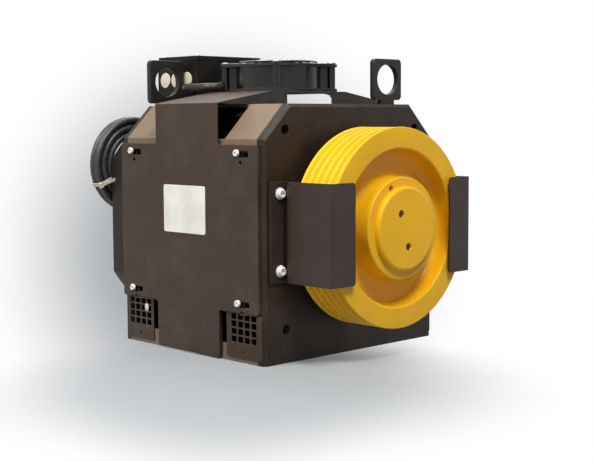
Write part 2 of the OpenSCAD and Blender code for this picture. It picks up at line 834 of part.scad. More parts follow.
fan_motor_h = 6;
module fan_motor() {
    color("#242426") place() translate([fan_x, fan_y, roof_z]) {
        difference() {
            cylinder(r = fan_hub_d / 2, h = fan_motor_h);
            translate([0, 0, fan_motor_h - 3]) cylinder(r = 4, h = 5);
        }
        for (a = [20:90:290]) rotate([0, 0, a])
            translate([fan_hub_d / 2 - 1, -2.5, 0])
                cube([(fan_bore_d - fan_hub_d) / 2 + 1 - seat, 5, 4]);
    }
}

module fan_impeller() {
    z0 = fan_motor_h + 1;
    z1 = fan_h - 3;
    tip_r = fan_bore_d / 2 - fan_tip_gap;
    color("#151517") place() translate([fan_x, fan_y, roof_z]) {
        translate([0, 0, z0]) cylinder(r = fan_hub_d / 2, h = z1 - z0);
        translate([0, 0, fan_motor_h - 2]) cylinder(r = 3.9, h = 4);
        intersection() {
            translate([0, 0, z0 + 1]) cylinder(r = tip_r, h = z1 - z0 - 4);
            for (i = [0:fan_blades - 1]) rotate([0, 0, i * 360 / fan_blades])
                translate([fan_hub_d / 2 - 4, 0, (z0 + z1) / 2]) rotate([38, 0, 0])
                    translate([0, -24, -1]) cube([tip_r, 48, 2]);
        }
    }
}

module finger_guard() {
    z = roof_z + fan_h;
    w = 1.2;
    weld = 0.4;
    rod_reach = fan_hole_pitch / sqrt(2) - 5;
    color("#a9abad") place() translate([fan_x, fan_y, z + w]) {
        for (r = [18, 30, 42, 54]) rotate_extrude()
            translate([r, 2 * w - weld]) circle(r = w, $fn = 16);
        for (a = [45, 135]) rotate([0, 0, a]) rotate([0, 90, 0])
            translate([0, 0, -rod_reach]) cylinder(r = w, h = 2 * rod_reach, $fn = 16);
    }
}

module fan_screws() {
    color("#a5a5a2") place() for (x = [-1, 1], y = [-1, 1])
        translate([fan_x + x * fan_hole_pitch / 2, fan_y + y * fan_hole_pitch / 2, 0]) {
            translate([0, 0, roof_z - 8]) cylinder(r = 2, h = fan_h + 8 + eps);
            translate([0, 0, roof_z + fan_h]) cylinder(r = 4, h = 3);
            translate([0, 0, roof_z - sheet_t - 3.2]) cylinder(r = 4, h = 3.2, $fn = 6);
        }
}

// Supply conduit of the fan: out of the terminal box, along it and into the fan's side
module fan_conduit() {
    r = 5.5;
    bend = 12;
    z = roof_z + 7.3;
    x0 = -tbox_w / 2;
    x1 = x0 - 8;
    y0 = tbox_front + 8;
    y1 = hood_rear - 14.5;
    color("#1b1b1b") place() {
        bar_x(y0, z, r, x1 - eps, x0);
        bar_x(y0, z, r + 2, x0 - 4, x0);
        bar_y(x1 - bend, z, r, y1 + bend - eps, y0 - bend + eps);
        bar_x(y1, z, r, x1 - eps, fan_x - fan_size / 2);
        bar_x(y1, z, r + 1.5, fan_x - fan_size / 2 - 4, fan_x - fan_size / 2);
        for (e = [[y0 - bend, 0], [y1 + bend, -1]]) translate([x1, e[0], z])
            intersection() {
                rotate_extrude() translate([bend, 0]) circle(r = r);
                translate([-50, e[1] * 50, -50]) cube([50, 50, 100]);
            }
    }
}

// ------------------------------------------------------------ rope guards

guard_in = sheave_d / 2 + guard_gap;
guard_x = guard_in + guard_t;
guard_face = sheave_front - guard_face_gap;
guard_bolt_x = guard_x + 1.5;
guard_bend = sheave_rear + 4;

// Right rope guard as one bent strip, seen from above
module rope_guard() {
    z0 = axis_z - 1.5 - guard_h / 2;
    t = guard_t;
    foot_x = guard_bolt_x - bolt_head_d / 2 - 8;
    difference() {
        translate([0, 0, z0]) linear_extrude(guard_h) polygon([
            [foot_x + guard_flange, 0], [foot_x, 0], [foot_x, -t],
            [guard_in, guard_bend], [guard_in, guard_face], [guard_x - guard_lip, guard_face],
            [guard_x - guard_lip, guard_face - t], [guard_x, guard_face - t],
            [guard_x, guard_bend - 1], [foot_x + t, -t], [foot_x + guard_flange, -t]]);
        for (z = [-1, 1])
            bar_y(guard_bolt_x, axis_z - 1.5 + z * guard_bolt_pitch / 2, bolt_d / 2 + seat,
                  -t - 1, 1);
        for (z = [-1, 1]) lip_corner(z);
    }
}

// Rounds one free corner of the lip
module lip_corner(s) {
    r = 5;
    x = guard_x - guard_lip;
    z = axis_z - 1.5 + s * guard_h / 2;
    translate([x + r, guard_face + 1, z - s * r]) rotate([90, 0, 0])
        linear_extrude(guard_t + 2) difference() {
            translate([-r - 1, s > 0 ? 0 : -r - 1]) square([r + 1, r + 1]);
            circle(r = r);
        }
}

module rope_guard_right() { color("#463f3a") place() rope_guard(); }
module rope_guard_left() { color("#463f3a") place() mirror([1, 0, 0]) rope_guard(); }

// ------------------------------------------------------------ sheave

// One side of a round-bottomed rope groove at y, as outline points
function groove(y) = let (r = sheave_d / 2, b = rope_d / 2, h = rope_pitch / 2 - 1) concat(
    [[r, y - h]],
    [for (a = [200:20:340]) [r - groove_depth + b + b * sin(a), y + b * cos(a)]],
    [[r, y + h]]);

module traction_sheave() {
    r = sheave_d / 2;
    rim_in = dish_d / 2;
    web_y = sheave_front + dish_depth;
    web_t = 18;
    bore = sheave_seat_d / 2;
    ring = hub_ring_d / 2;
    f = 10;
    grooves = [for (i = [0:rope_count - 1])
        each groove(sheave_front + rim_land + rope_pitch * (i + 0.5))];
    fillet = [for (a = [0:15:90]) [rim_in - f + f * cos(a), web_y - f + f * sin(a)]];
    color("#e8b42a") place() difference() {
        turned(concat(
            [[bore, sheave_rear], [ring - 6, sheave_rear], [ring - 6, web_y + web_t],
             [rim_in, web_y + web_t], [rim_in, sheave_rear], [r, sheave_rear]],
            [for (i = [len(grooves) - 1:-1:0]) grooves[i]],
            [[r, sheave_front], [rim_in + 2, sheave_front], [rim_in, sheave_front + 2]],
            fillet,
            [[ring + 4, web_y], [ring, web_y - 4], [ring, hub_front + 1],
             [ring - 1, hub_front], [bore, hub_front]]));
        bar_y(57 * cos(114), axis_z + 57 * sin(114), puller_d / 2, hub_front - 1,
              hub_front + 14);
    }
}

module sheave_cap() {
    r = cap_d / 2;
    c = 1.5;
    color("#e3b02c") place() difference() {
        turned([[0, cap_front], [r - c, cap_front], [r, cap_front + c], [r, hub_front],
                [0, hub_front]]);
        for (s = [-1, 1]) cap_screw_place(s) bar_y(0, 0, 4.2, cap_front - 1, cap_front + 4);
        for (s = [-1, 1]) cap_screw_place(s) bar_y(0, 0, 2.6, cap_front - 1, hub_front + 1);
    }
}

module cap_screw_place(s) {
    translate([-s * cap_screw_pitch / 2 * sin(18) - 5, 0,
               axis_z + s * cap_screw_pitch / 2 * cos(18) - 2]) children();
}

module cap_screws() {
    color("#5a4a22") place() for (s = [-1, 1]) cap_screw_place(s) {
        bar_y(0, 0, 4, cap_front + 1.5, cap_front + 4);
        bar_y(0, 0, 2.5, cap_front + 4 - eps, hub_front);
    }
}

// ------------------------------------------------------------ brake

module brake_bolt_place(a) {
    translate([brake_bolt_r * cos(a), 0, axis_z + brake_bolt_r * sin(a)]) children();
}

module brake_hub() {
    color("#8f9295") place()
        ring_y(brake_seat_d / 2, brake_seat_d / 2 + 12, friction_y, magnet_y - 1);
}

module friction_disc() {
    color("#6b5c4c") place()
        ring_y(brake_seat_d / 2 + 12, friction_d / 2, friction_y, friction_y + friction_t);
}

module armature(side) {
    color("#7a7d80") place() intersection() {
        difference() {
            ring_y(brake_inner_r, armature_d / 2, armature_y, armature_y + armature_t);
            block([-1.5, armature_y - 1, 0], [1.5, armature_y + armature_t + 1, plate_h]);
        }
        block([side > 0 ? 0 : -plate_w, 0, 0], [side > 0 ? plate_w : 0, 500, plate_h]);
    }
}
module armature_left() { armature(-1); }
module armature_right() { armature(1); }

coil_pocket_in = 58;
coil_pocket_out = 84;
coil_pocket_d = 16;
module brake_magnet_body() {
    color("#2c2a29") place() difference() {
        ring_y(brake_inner_r, magnet_body_d / 2, magnet_y, magnet_y + magnet_body_t);
        ring_y(coil_pocket_in, coil_pocket_out, magnet_y - 1, magnet_y + coil_pocket_d);
        for (i = [0:spring_count - 1]) spring_place(i)
            bar_y(0, 0, 6, magnet_y - 1, magnet_y + spring_depth);
        for (a = [45:90:315]) brake_bolt_place(a)
            bar_y(0, 0, brake_bolt_d / 2 + seat, magnet_y - 1, brake_end + 1);
    }
}

module spring_place(i) {
    a = 15 + i * 360 / spring_count;
    translate([spring_r * cos(a), 0, axis_z + spring_r * sin(a)]) children();
}

module brake_coil() {
    color("#9a5a2c") place()
        ring_y(coil_pocket_in + 0.5, coil_pocket_out - 0.5, magnet_y + 0.5,
               magnet_y + coil_pocket_d);
}

module brake_springs() {
    color("#9da0a3") place() for (i = [0:spring_count - 1]) spring_place(i)
        ring_y(3.6, 5.6, magnet_y, magnet_y + spring_depth, 0, 0);
}

module brake_spacers() {
    color("#9da0a3") place() for (a = [45:90:315]) brake_bolt_place(a)
        ring_y(brake_bolt_d / 2 + seat, 7, frame_len, magnet_y, 0, 0);
}

module brake_bolts() {
    color("#8c8f92") place() for (a = [45:90:315]) brake_bolt_place(a) {
        bar_y(0, 0, brake_bolt_d / 2, casing_rear, brake_end + eps);
        bar_y(0, 0, 6.5, brake_end, brake_end + 5);
    }
}

module brake_cover_outline(inset) {
    intersection() {
        circle(r = brake_cover_d / 2 - inset);
        square([brake_cover_w - 2 * inset, brake_cover_d], center = true);
    }
}

module brake_cover() {
    wall = 3;
    color("#312d22") place() difference() {
        translate([0, 0, axis_z]) slab(frame_len, cover_rear_y) brake_cover_outline(0);
        translate([0, 0, axis_z]) slab(frame_len - 1, cover_rear_y - wall)
            brake_cover_outline(wall);
        bar_y(0, axis_z, 27.5, cover_rear_y - wall - 1, cover_rear_y + 1);
    }
}

module encoder_body() {
    color("#3a3c40") place() {
        ring_y(13, 36, brake_end, brake_end + 3);
        ring_y(13, 23.5, brake_end + 3 - eps, brake_end + 26);
    }
}

module encoder_hub() {
    color("#a5a8ab") place() ring_y(6, 12.5, brake_end + 2, brake_end + 23);
}

module encoder_cover() {
    r = encoder_cover_d / 2;
    y1 = cover_rear_y + encoder_cover_len;
    color("#232323") place() difference() {
        union() {
            bar_y(0, axis_z, r, cover_rear_y, y1);
            block([lead_x - 8, cover_rear_y, axis_z],
                  [lead_x + 8, lead_y + 8, encoder_pad_z]);
        }
        bar_y(0, axis_z, r - 2, cover_rear_y - 1, y1 - 2);
    }
}
encoder_pad_z = 197;
encoder_gland_len = 6.5;

module encoder_gland() {
    color("#1b1b1b") place() translate([lead_x, lead_y, encoder_pad_z]) {
        cylinder(r = gland_d / 2 - 1, h = encoder_gland_len);
    }
}

// ------------------------------------------------------------ terminal box

module terminal_box() {
    x = tbox_w / 2;
    z1 = plate_h + tbox_body_h;
    color("#6d7278") place() difference() {
        block([-x, tbox_front, plate_h], [x, tbox_rear, z1]);
        block([-x + tbox_t, tbox_front + tbox_t, plate_h + tbox_t],
              [x - tbox_t, tbox_rear - tbox_t, z1 + 1]);
        for (i = [0:2]) bar_x(plug_y[i], plug_z, plug_r, -x - 1, -x + tbox_t + 1);
    }
}
plug_y = [tbox_front + 22.5, tbox_front + 47.5, tbox_front + 72.5];
plug_z = plate_h + 38;
plug_r = 9;

module terminal_lid() {
    x = tbox_w / 2;
    z0 = plate_h + tbox_body_h;
    color("#7d8288") place() block([-x, tbox_front, z0], [x, tbox_rear, z0 + tbox_lid_h]);
}

module terminal_block() {
    color("#c9c4b0") place() block([-40, tbox_front + 12, plate_h + tbox_t],
                                   [40, tbox_front + 36, plate_h + tbox_t + 24]);
}

module terminal_plugs() {
    x = tbox_w / 2;
    color("#e0d9c4") place() for (i = [0:2]) {
        bar_x(plug_y[i], plug_z, plug_r, -x - eps, -x + tbox_t);
        bar_x(plug_y[i], plug_z, plug_r + 2, -x - 2, -x);
    }
}

gland_z = 360;
module terminal_gland() {
    color("#1b1b1b") place() {
        bar_y(lead_x, gland_z, gland_d / 2, tbox_rear, tbox_rear + 9);
        bar_y(lead_x, gland_z, gland_d / 2 - 1, tbox_rear, tbox_rear + gland_len);
    }
}

// Small screws of the terminal lid and the rear casing
module case_screws() {
    color("#a5a5a2") place() {
        for (x = [-1, 1], y = [tbox_front + 8, tbox_rear - 8])
            translate([x * (tbox_w / 2 - 8), y, plate_h + tbox_h]) cylinder(r = 4, h = 2.5);
        for (a = [60:60:300]) if (a != 120)
            bar_y(brake_screw_r * cos(a), axis_z + brake_screw_r * sin(a), 4.5, cover_rear_y,
                  cover_rear_y + 3);
    }
}
brake_screw_r = 118;

// ------------------------------------------------------------ encoder cable

hook_d = 8;
module cable_hook() {
    z = coil_z + coil_in_r - rest_gap - hook_d / 2;
    color("#8c8f92") place() {
        block([coil_x - 8, cover_rear_y, z - 14], [coil_x + 8, cover_rear_y + 3, z + 6]);
        bar_y(coil_x, z, hook_d / 2, cover_rear_y + 3 - eps, overall_rear - 2);
        translate([coil_x, overall_rear - hook_d / 2, z - hook_d / 2])
            cylinder(r = hook_d / 2, h = 18);
    }
}

module cable_coil() {
    color("#1f1f20") place() translate([coil_x, coil_y, coil_z]) rotate([-90, 0, 0])
        rotate_extrude() translate([coil_in_r, 0]) square([coil_out_r - coil_in_r, coil_w]);
}

// A tube swept along points that lie in one upright plane across X
module swept_tube(points, r, sides = 10) {
    n = len(points);
    dirs = [for (i = [0:n - 1]) let (d = points[min(i + 1, n - 1)] - points[max(i - 1, 0)])
        d / norm(d)];
    rings = [for (i = [0:n - 1], k = [0:sides - 1]) let (a = 360 * k / sides)
        points[i] + r * cos(a) * [1, 0, 0] + r * sin(a) * cross(dirs[i], [1, 0, 0])];
    bottom = [[for (k = [sides - 1:-1:0]) k]];
    top = [[for (k = [0:sides - 1]) (n - 1) * sides + k]];
    walls = [for (i = [0:n - 2], k = [0:sides - 1]) let (m = (k + 1) % sides)
        [i * sides + k, i * sides + m, (i + 1) * sides + m, (i + 1) * sides + k]];
    polyhedron(points = rings, faces = concat(bottom, walls, top), convexity = 4);
}

lead_route = [[0, 0], [0, 20]];
return_route = [
    [9.6, 262], [9.6, 276], [9.6, 290], [9.6, 304], [9.3, 314], [8.4, 323], [6.2, 332],
    [2.4, 340], [-2.8, 347.2], [-9, 353], [-16, 357.2], [-22.5, 359.4], [-27.5, 360]];

module cable_lead() {
    color("#1f1f20") place() swept_tube(
        [for (p = lead_route)
            [lead_x, lead_y + p[0], encoder_pad_z + encoder_gland_len + p[1]]],
        cable_d / 2);
}

module cable_return() {
    color("#1f1f20") place()
        swept_tube([for (p = return_route) [lead_x, return_y + p[0], p[1]]], cable_d / 2);
}

tie_angle = 203;
module cable_tie() {
    w = 5;
    t = 1.5;
    g = 0.6;
    color("#d2cbbb") place() translate([coil_x, coil_y, coil_z]) rotate([0, -tie_angle, 0])
        difference() {
            union() {
                block([coil_in_r - g - t, -g - t, -w / 2],
                      [coil_out_r + g + t, coil_w + g + t, w / 2]);
                block([coil_out_r - 2, -g - t - 4, -w / 2 - 1],
                      [coil_out_r + g + t + 3, -g - t + eps, w / 2 + 1]);
            }
            block([coil_in_r - g, -g, -w], [coil_out_r + g, coil_w + g, w]);
        }
}

front_plate();
rear_plate();
base_plate();
tie_rods();
stator_frame();
stator_core();
stator_windings();
casing_shell();
side_cover_left();
side_cover_right();
vent_grilles();
cover_screws();
nameplate();
lifting_eye_front();
lifting_eye_rear();
frame_bolts();
fan_conduit();
fan_hood();
fan_frame();
fan_motor();
finger_guard();
fan_screws();
rope_guard_left();
rope_guard_right();
bearing_outer_rings();
front_bearing_cap();
brake_magnet_body();
brake_coil();
brake_springs();
brake_spacers();
brake_bolts();
brake_cover();
case_screws();
encoder_body();
encoder_cover();
encoder_gland();
terminal_box();
terminal_lid();
terminal_block();
terminal_plugs();
terminal_gland();
cable_hook();
cable_lead();
cable_coil();
cable_return();
cable_tie();
main_shaft();
traction_sheave();
sheave_cap();
cap_screws();
rotor_drum();
rotor_magnets();
bearing_inner_rings();
bearing_rollers();
brake_hub();
friction_disc();
encoder_hub();
fan_impeller();
armature_left();
armature_right();
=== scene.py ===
"""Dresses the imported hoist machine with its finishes, cable, fan, covers and screws."""

import json
import logging
import math
from collections.abc import Callable, Iterable, Sequence
from dataclasses import dataclass
from enum import Enum
from functools import cache

import bmesh
import bpy
from mathutils import Matrix, Vector

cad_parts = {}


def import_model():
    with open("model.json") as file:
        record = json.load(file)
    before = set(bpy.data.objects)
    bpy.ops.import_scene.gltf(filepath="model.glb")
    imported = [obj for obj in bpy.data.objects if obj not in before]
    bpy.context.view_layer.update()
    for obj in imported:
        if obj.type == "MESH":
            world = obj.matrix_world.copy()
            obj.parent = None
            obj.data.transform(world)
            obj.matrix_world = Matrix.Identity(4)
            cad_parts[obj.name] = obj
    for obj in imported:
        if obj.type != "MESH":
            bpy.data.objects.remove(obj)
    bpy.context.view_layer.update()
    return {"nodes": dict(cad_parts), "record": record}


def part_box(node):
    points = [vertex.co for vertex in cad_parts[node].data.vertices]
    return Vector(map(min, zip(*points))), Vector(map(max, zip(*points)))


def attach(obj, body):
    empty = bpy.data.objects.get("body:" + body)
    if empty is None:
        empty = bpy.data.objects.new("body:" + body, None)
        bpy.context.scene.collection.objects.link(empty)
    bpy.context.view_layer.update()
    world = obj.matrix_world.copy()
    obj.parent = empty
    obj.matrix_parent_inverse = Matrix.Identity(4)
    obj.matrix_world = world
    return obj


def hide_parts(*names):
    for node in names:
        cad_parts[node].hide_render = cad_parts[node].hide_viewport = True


log = logging.getLogger("hoist")
Point = tuple[float, float, float]
Flat = tuple[float, float]
Colour = tuple[float, float, float, float]
Lift = Callable[[float, float, float], Point]
MM = 0.001
SHIFT_Y = -0.153  # the front plate's face in the shared frame
AXIS_Z = 0.170  # height of the shaft line
CASING_HALF = 0.161  # from the shaft line to the casing's side
CASING_LENGTH = 294.0  # mm, over the front and rear plates
SKEW = 0.37  # a sheet is turned by this while it is filled, so that no two corners are level
SMOOTH = 38.0  # degrees; the largest angle that is shaded round
STUD_SPREAD = 0.007  # from a lifting eye's middle to each of its studs
STUD_Z = 0.321  # height of the studs


def along(s: float) -> float:
    """Place on +Y of a distance in mm behind the front plate's face."""
    return SHIFT_Y + s * MM


def spokes(count: int) -> list[float]:
    """Angles of equal steps round a circle."""
    return [2 * math.pi * i / count for i in range(count)]


# ---------------------------------------------------------------- shading


def linear(hex_code: str) -> Colour:
    """Turns an sRGB hex code into a linear colour.

    Args:
        hex_code: six hexadecimal digits.

    Returns:
        Red, green, blue and alpha as the shader takes them.
    """
    parts = [int(hex_code[i : i + 2], 16) / 255 for i in (0, 2, 4)]
    r, g, b = (c / 12.92 if c <= 0.04045 else ((c + 0.055) / 1.055) ** 2.4 for c in parts)
    return (r, g, b, 1.0)


def tone(colour: Colour, factor: float) -> Colour:
    """A darker or paler shade of a colour."""
    r, g, b = (min(1.0, c * factor) for c in colour[:3])
    return (r, g, b, 1.0)


class Wire:
    """A node's output that takes part in Python arithmetic by adding Math nodes."""

    def __init__(self, graph: "Graph", socket: bpy.types.NodeSocket) -> None:
        """Keeps the socket and the tree it belongs to."""
        self.graph, self.socket = graph, socket

    def _math(self, operation: str, other: object) -> "Wire":
        """Adds one Math node on this value and another."""
        return self.graph.wire("ShaderNodeMath", {"operation": operation}, {0: self, 1: other})

    def __add__(self, other: object) -> "Wire":
        """Sum."""
        return self._math("ADD", other)

    def __mul__(self, other: object) -> "Wire":
        """Product."""
        return self._math("MULTIPLY", other)

    def clear(self) -> "Wire":
        """The same value held between 0 and 1."""
        return self.graph.wire("ShaderNodeClamp", {}, {0: self})


class Graph:
    """A node tree that nodes are added to by one call each."""

    def __init__(self, tree: bpy.types.NodeTree) -> None:
        """Empties the tree."""
        self.tree = tree
        tree.nodes.clear()

    def node(self, kind: str, settings: dict[str, object] | None = None,
             inputs: dict[object, object] | None = None) -> bpy.types.Node:
        """Adds any node.

        Args:
            kind: the node's type.
            settings: properties that are set first.
            inputs: values, sockets or wires by socket name or number.

        Returns:
            The new node.
        """
        made = self.tree.nodes.new(kind)
        for name, value in (settings or {}).items():
            setattr(made, name, value)
        for key, value in (inputs or {}).items():
            self.feed(made.inputs[key], value)
        return made

    def wire(self, kind: str, settings: dict[str, object] | None = None,
             inputs: dict[object, object] | None = None, output: int | str = 0) -> Wire:
        """Adds a node as node() does and returns one of its outputs."""
        return Wire(self, self.node(kind, settings, inputs).outputs[output])

    def feed(self, socket: bpy.types.NodeSocket, value: object) -> None:
        """Links a wire or a socket, or writes a plain value.

        Args:
            socket: the input that takes it.
            value: the wire, socket or plain value.
        """
        if isinstance(value, Wire):
            value = value.socket
        if isinstance(value, bpy.types.NodeSocket):
            self.tree.links.new(value, socket)
        else:
            socket.default_value = value

    def ease(self, value: object, span: Flat) -> Wire:
        """0 below the span and 1 above it, with a soft change between."""
        return self.wire("ShaderNodeMapRange", {"interpolation_type": "SMOOTHSTEP"},
                         {0: value, 1: span[0], 2: span[1]})

    def blend(self, factor: object, first: object, second: object) -> Wire:
        """Mixes two colours."""
        return self.wire("ShaderNodeMix", {"data_type": "RGBA"},
                         {0: factor, 6: first, 7: second}, 2)


class Shade(Graph):
    """One material and the nodes of its surface."""

    def __init__(self, name: str) -> None:
        """Starts an empty material that ends in one Principled shader.

        Args:
            name: the material's name.
        """
        self.material = bpy.data.materials.new(name)
        self.material.use_nodes = True
        super().__init__(self.material.node_tree)
        self.surface = self.node("ShaderNodeBsdfPrincipled")
        self.output = self.node("ShaderNodeOutputMaterial", {}, {0: self.surface.outputs[0]})
        self.place = self.wire("ShaderNodeTexCoord", output="Object")

    def put(self, name: str, value: object) -> None:
        """Feeds a value or wire to one input of the surface shader."""
        self.feed(self.surface.inputs[name], value)

    def noise(self, scale: float, detail: float = 3.0, rough: float = 0.5,
              stretch: Point | None = None) -> Wire:
        """Value noise in the piece's own space.

        Args:
            scale: cells per metre.
            detail: number of octaves.
            rough: weight of the finer octaves.
            stretch: factors on the three coordinates.

        Returns:
            A value around one half.
        """
        place = self.place
        if stretch:
            place = self.wire("ShaderNodeMapping", {}, {"Vector": place, "Scale": stretch})
        return self.wire("ShaderNodeTexNoise", {}, {
            "Vector": place, "Scale": scale, "Detail": detail, "Roughness": rough})

    def stripes(self, kind: str, size: float, place: Wire, more: dict[str, float]) -> Wire:
        """Even stripes across the shaft line.

        Args:
            kind: BANDS along the shaft, or RINGS round it.
            size: width of one stripe in metres.
            place: where each point lies.
            more: further inputs of the wave.

        Returns:
            A value that is 1 in the middle of a stripe.
        """
        way = "bands_direction" if kind == "BANDS" else "rings_direction"
        return self.wire("ShaderNodeTexWave", {"wave_type": kind, way: "Y"},
                         {"Vector": place, "Scale": 0.314 / size, **more}, 1)

    def spread(self, value: Wire, low: float, high: float, to_low: float = 0.0,
               to_high: float = 1.0) -> Wire:
        """Maps a value from one range to another, held at both ends."""
        return self.wire("ShaderNodeMapRange", {"clamp": True},
                         {0: value, 1: low, 2: high, 3: to_low, 4: to_high})

    def soft_edges(self, radius: float) -> tuple[Wire, Wire]:
        """Rounds edges in the shading alone.

        Args:
            radius: radius of the rounding, in metres.

        Returns:
            The rounded normal, and a mask that is 1 on the edges.
        """
        bevel = self.wire("ShaderNodeBevel", {"samples": 4}, {"Radius": radius})
        flat = self.wire("ShaderNodeNewGeometry", output="Normal")
        dot = self.wire("ShaderNodeVectorMath", {"operation": "DOT_PRODUCT"},
                        {0: bevel, 1: flat}, "Value")
        return bevel, self.spread(dot, 0.998, 0.92)

    def bump(self, height: Wire, strength: float, distance: float,
             normal: Wire | None = None) -> None:
        """Roughens the surface.

        Args:
            height: the relief.
            strength: how much of it is used.
            distance: depth of the relief in metres.
            normal: the normal that it is laid over.
        """
        inputs: dict[object, object] = {
            "Height": height, "Strength": strength, "Distance": distance}
        if normal:
            inputs["Normal"] = normal
        self.put("Normal", self.wire("ShaderNodeBump", {}, inputs))


@dataclass(frozen=True)
class Paint:
    """Sprayed paint with an orange peel skin, dust and worn edges."""

    name: str
    colour: str
    roughness: float = 0.45
    peel: float = 0.25
    dust: float = 0.1
    dust_colour: str = "9a9184"
    wear: float = 0.25
    wear_colour: str = "8c877e"
    edge: float = 0.0008
    coat: float = 0.0
    shine: float = 0.25

    def build(self) -> bpy.types.Material:
        """Builds the node tree of the finish.

        Returns:
            The new material.
        """
        s = Shade(self.name)
        base = linear(self.colour)
        colour = s.blend(s.spread(s.noise(9.0, 4.0, 0.6), 0.35, 0.68), tone(base, 0.82), base)
        specks = s.spread(s.noise(900.0, 2.0, 0.7), 0.62, 0.78) * (self.dust * 0.35)
        dust = s.spread(s.noise(22.0, 5.0, 0.7), 0.48, 0.8) * self.dust + specks
        colour = s.blend(dust.clear(), colour, linear(self.dust_colour))
        normal, edge = s.soft_edges(self.edge)
        rub = (edge * s.spread(s.noise(60.0, 4.0, 0.7), 0.42, 0.62) * self.wear).clear()
        s.put("Base Color", s.blend(rub, colour, linear(self.wear_colour)))
        streaks = s.spread(s.noise(35.0, 4.0, 0.6), 0.3, 0.7, -0.06, 0.08)
        s.put("Roughness", (streaks + self.roughness).clear())
        s.put("Specular IOR Level", self.shine)
        s.put("Coat Weight", self.coat)
        s.put("Coat Roughness", 0.18)
        s.bump(s.noise(420.0, 2.0, 0.45), self.peel, 0.0006, normal)
        return s.material


@dataclass(frozen=True)
class BareMetal:
    """Turned, rolled or plated metal with fine marks along one direction."""

    name: str
    colour: str
    roughness: float = 0.32
    stretch: Point = (1.0, 1.0, 1.0)
    marks: float = 0.25
    stain: float = 0.15
    stain_colour: str = "4a3f33"

    def build(self) -> bpy.types.Material:
        """Builds the node tree of the finish.

        Returns:
            The new material.
        """
        s = Shade(self.name)
        base = linear(self.colour)
        fine = s.noise(1400.0, 3.0, 0.6, self.stretch)
        colour = s.blend(s.spread(fine, 0.3, 0.7), base, tone(base, 1.18))
        stain = s.spread(s.noise(45.0, 5.0, 0.7), 0.5, 0.75) * self.stain
        s.put("Base Color", s.blend(stain, colour, linear(self.stain_colour)))
        s.put("Metallic", 1.0)
        streaks = s.spread(fine, 0.3, 0.7, -0.08, 0.1)
        s.put("Roughness", (streaks + self.roughness + stain * 0.4).clear())
        s.bump(fine, self.marks, 0.00012, s.soft_edges(0.0004)[0])
        return s.material


@dataclass(frozen=True)
class Laminated:
    """A stack of thin sheets pressed together along the shaft."""

    name: str
    colour: str
    sheet: float = 0.001

    def build(self) -> bpy.types.Material:
        """Builds the node tree of the finish.

        Returns:
            The new material.
        """
        s = Shade(self.name)
        line = s.stripes("BANDS", self.sheet, s.place, {"Distortion": 0.4, "Detail": 1.0})
        base = linear(self.colour)
        s.put("Base Color", s.blend(line, tone(base, 0.55), base))
        s.put("Metallic", 0.85)
        s.put("Roughness", s.noise(80.0, 3.0, 0.6) * 0.2 + 0.35)
        s.bump(line, 0.4, 0.0003)
        return s.material


@dataclass(frozen=True)
class Moulded:
    """Moulded plastic or rubber with a fine grain."""

    name: str
    colour: str
    roughness: float = 0.5
    grain: float = 0.2
    dust: float = 0.12
    dust_colour: str = "8d877d"

    def build(self) -> bpy.types.Material:
        """Builds the node tree of the finish.

        Returns:
            The new material.
        """
        s = Shade(self.name)
        base = linear(self.colour)
        colour = s.blend(s.spread(s.noise(30.0, 3.0, 0.6), 0.35, 0.65), tone(base, 0.85), base)
        dust = s.spread(s.noise(120.0, 5.0, 0.7), 0.5, 0.78) * self.dust
        s.put("Base Color", s.blend(dust, colour, linear(self.dust_colour)))
        grain = s.noise(200.0, 3.0, 0.6) * 0.16
        s.put("Roughness", (grain + (self.roughness - 0.08) + dust * 0.5).clear())
        s.bump(s.noise(2600.0, 2.0, 0.5), self.grain, 0.0002, s.soft_edges(0.0005)[0])
        return s.material


@dataclass(frozen=True)
class Wound:
    """Varnished copper wire wound in rings round the shaft line."""

    name: str
    colour: str
    varnish: str = "6e3516"
    wire: float = 0.0016

    def build(self) -> bpy.types.Material:
        """Builds the node tree of the finish.

        Returns:
            The new material.
        """
        s = Shade(self.name)
        place = s.wire("ShaderNodeMapping", {},
                       {"Vector": s.place, "Location": (0.0, 0.0, -AXIS_Z)})
        line = s.stripes("RINGS", self.wire, place,
                         {"Distortion": 1.2, "Detail": 2.0, "Detail Scale": 3.0})
        base = linear(self.colour)
        colour = s.blend(line, tone(base, 0.35), base)
        varnish = s.spread(s.noise(60.0, 4.0, 0.6), 0.4, 0.7) * 0.35
        s.put("Base Color", s.blend(varnish, colour, linear(self.varnish)))
        s.put("Metallic", 0.7)
        s.put("Roughness", s.noise(300.0, 3.0, 0.6) * 0.2 + 0.25)
        s.put("Coat Weight", 0.4)
        s.bump(line, 0.5, 0.0005)
        return s.material


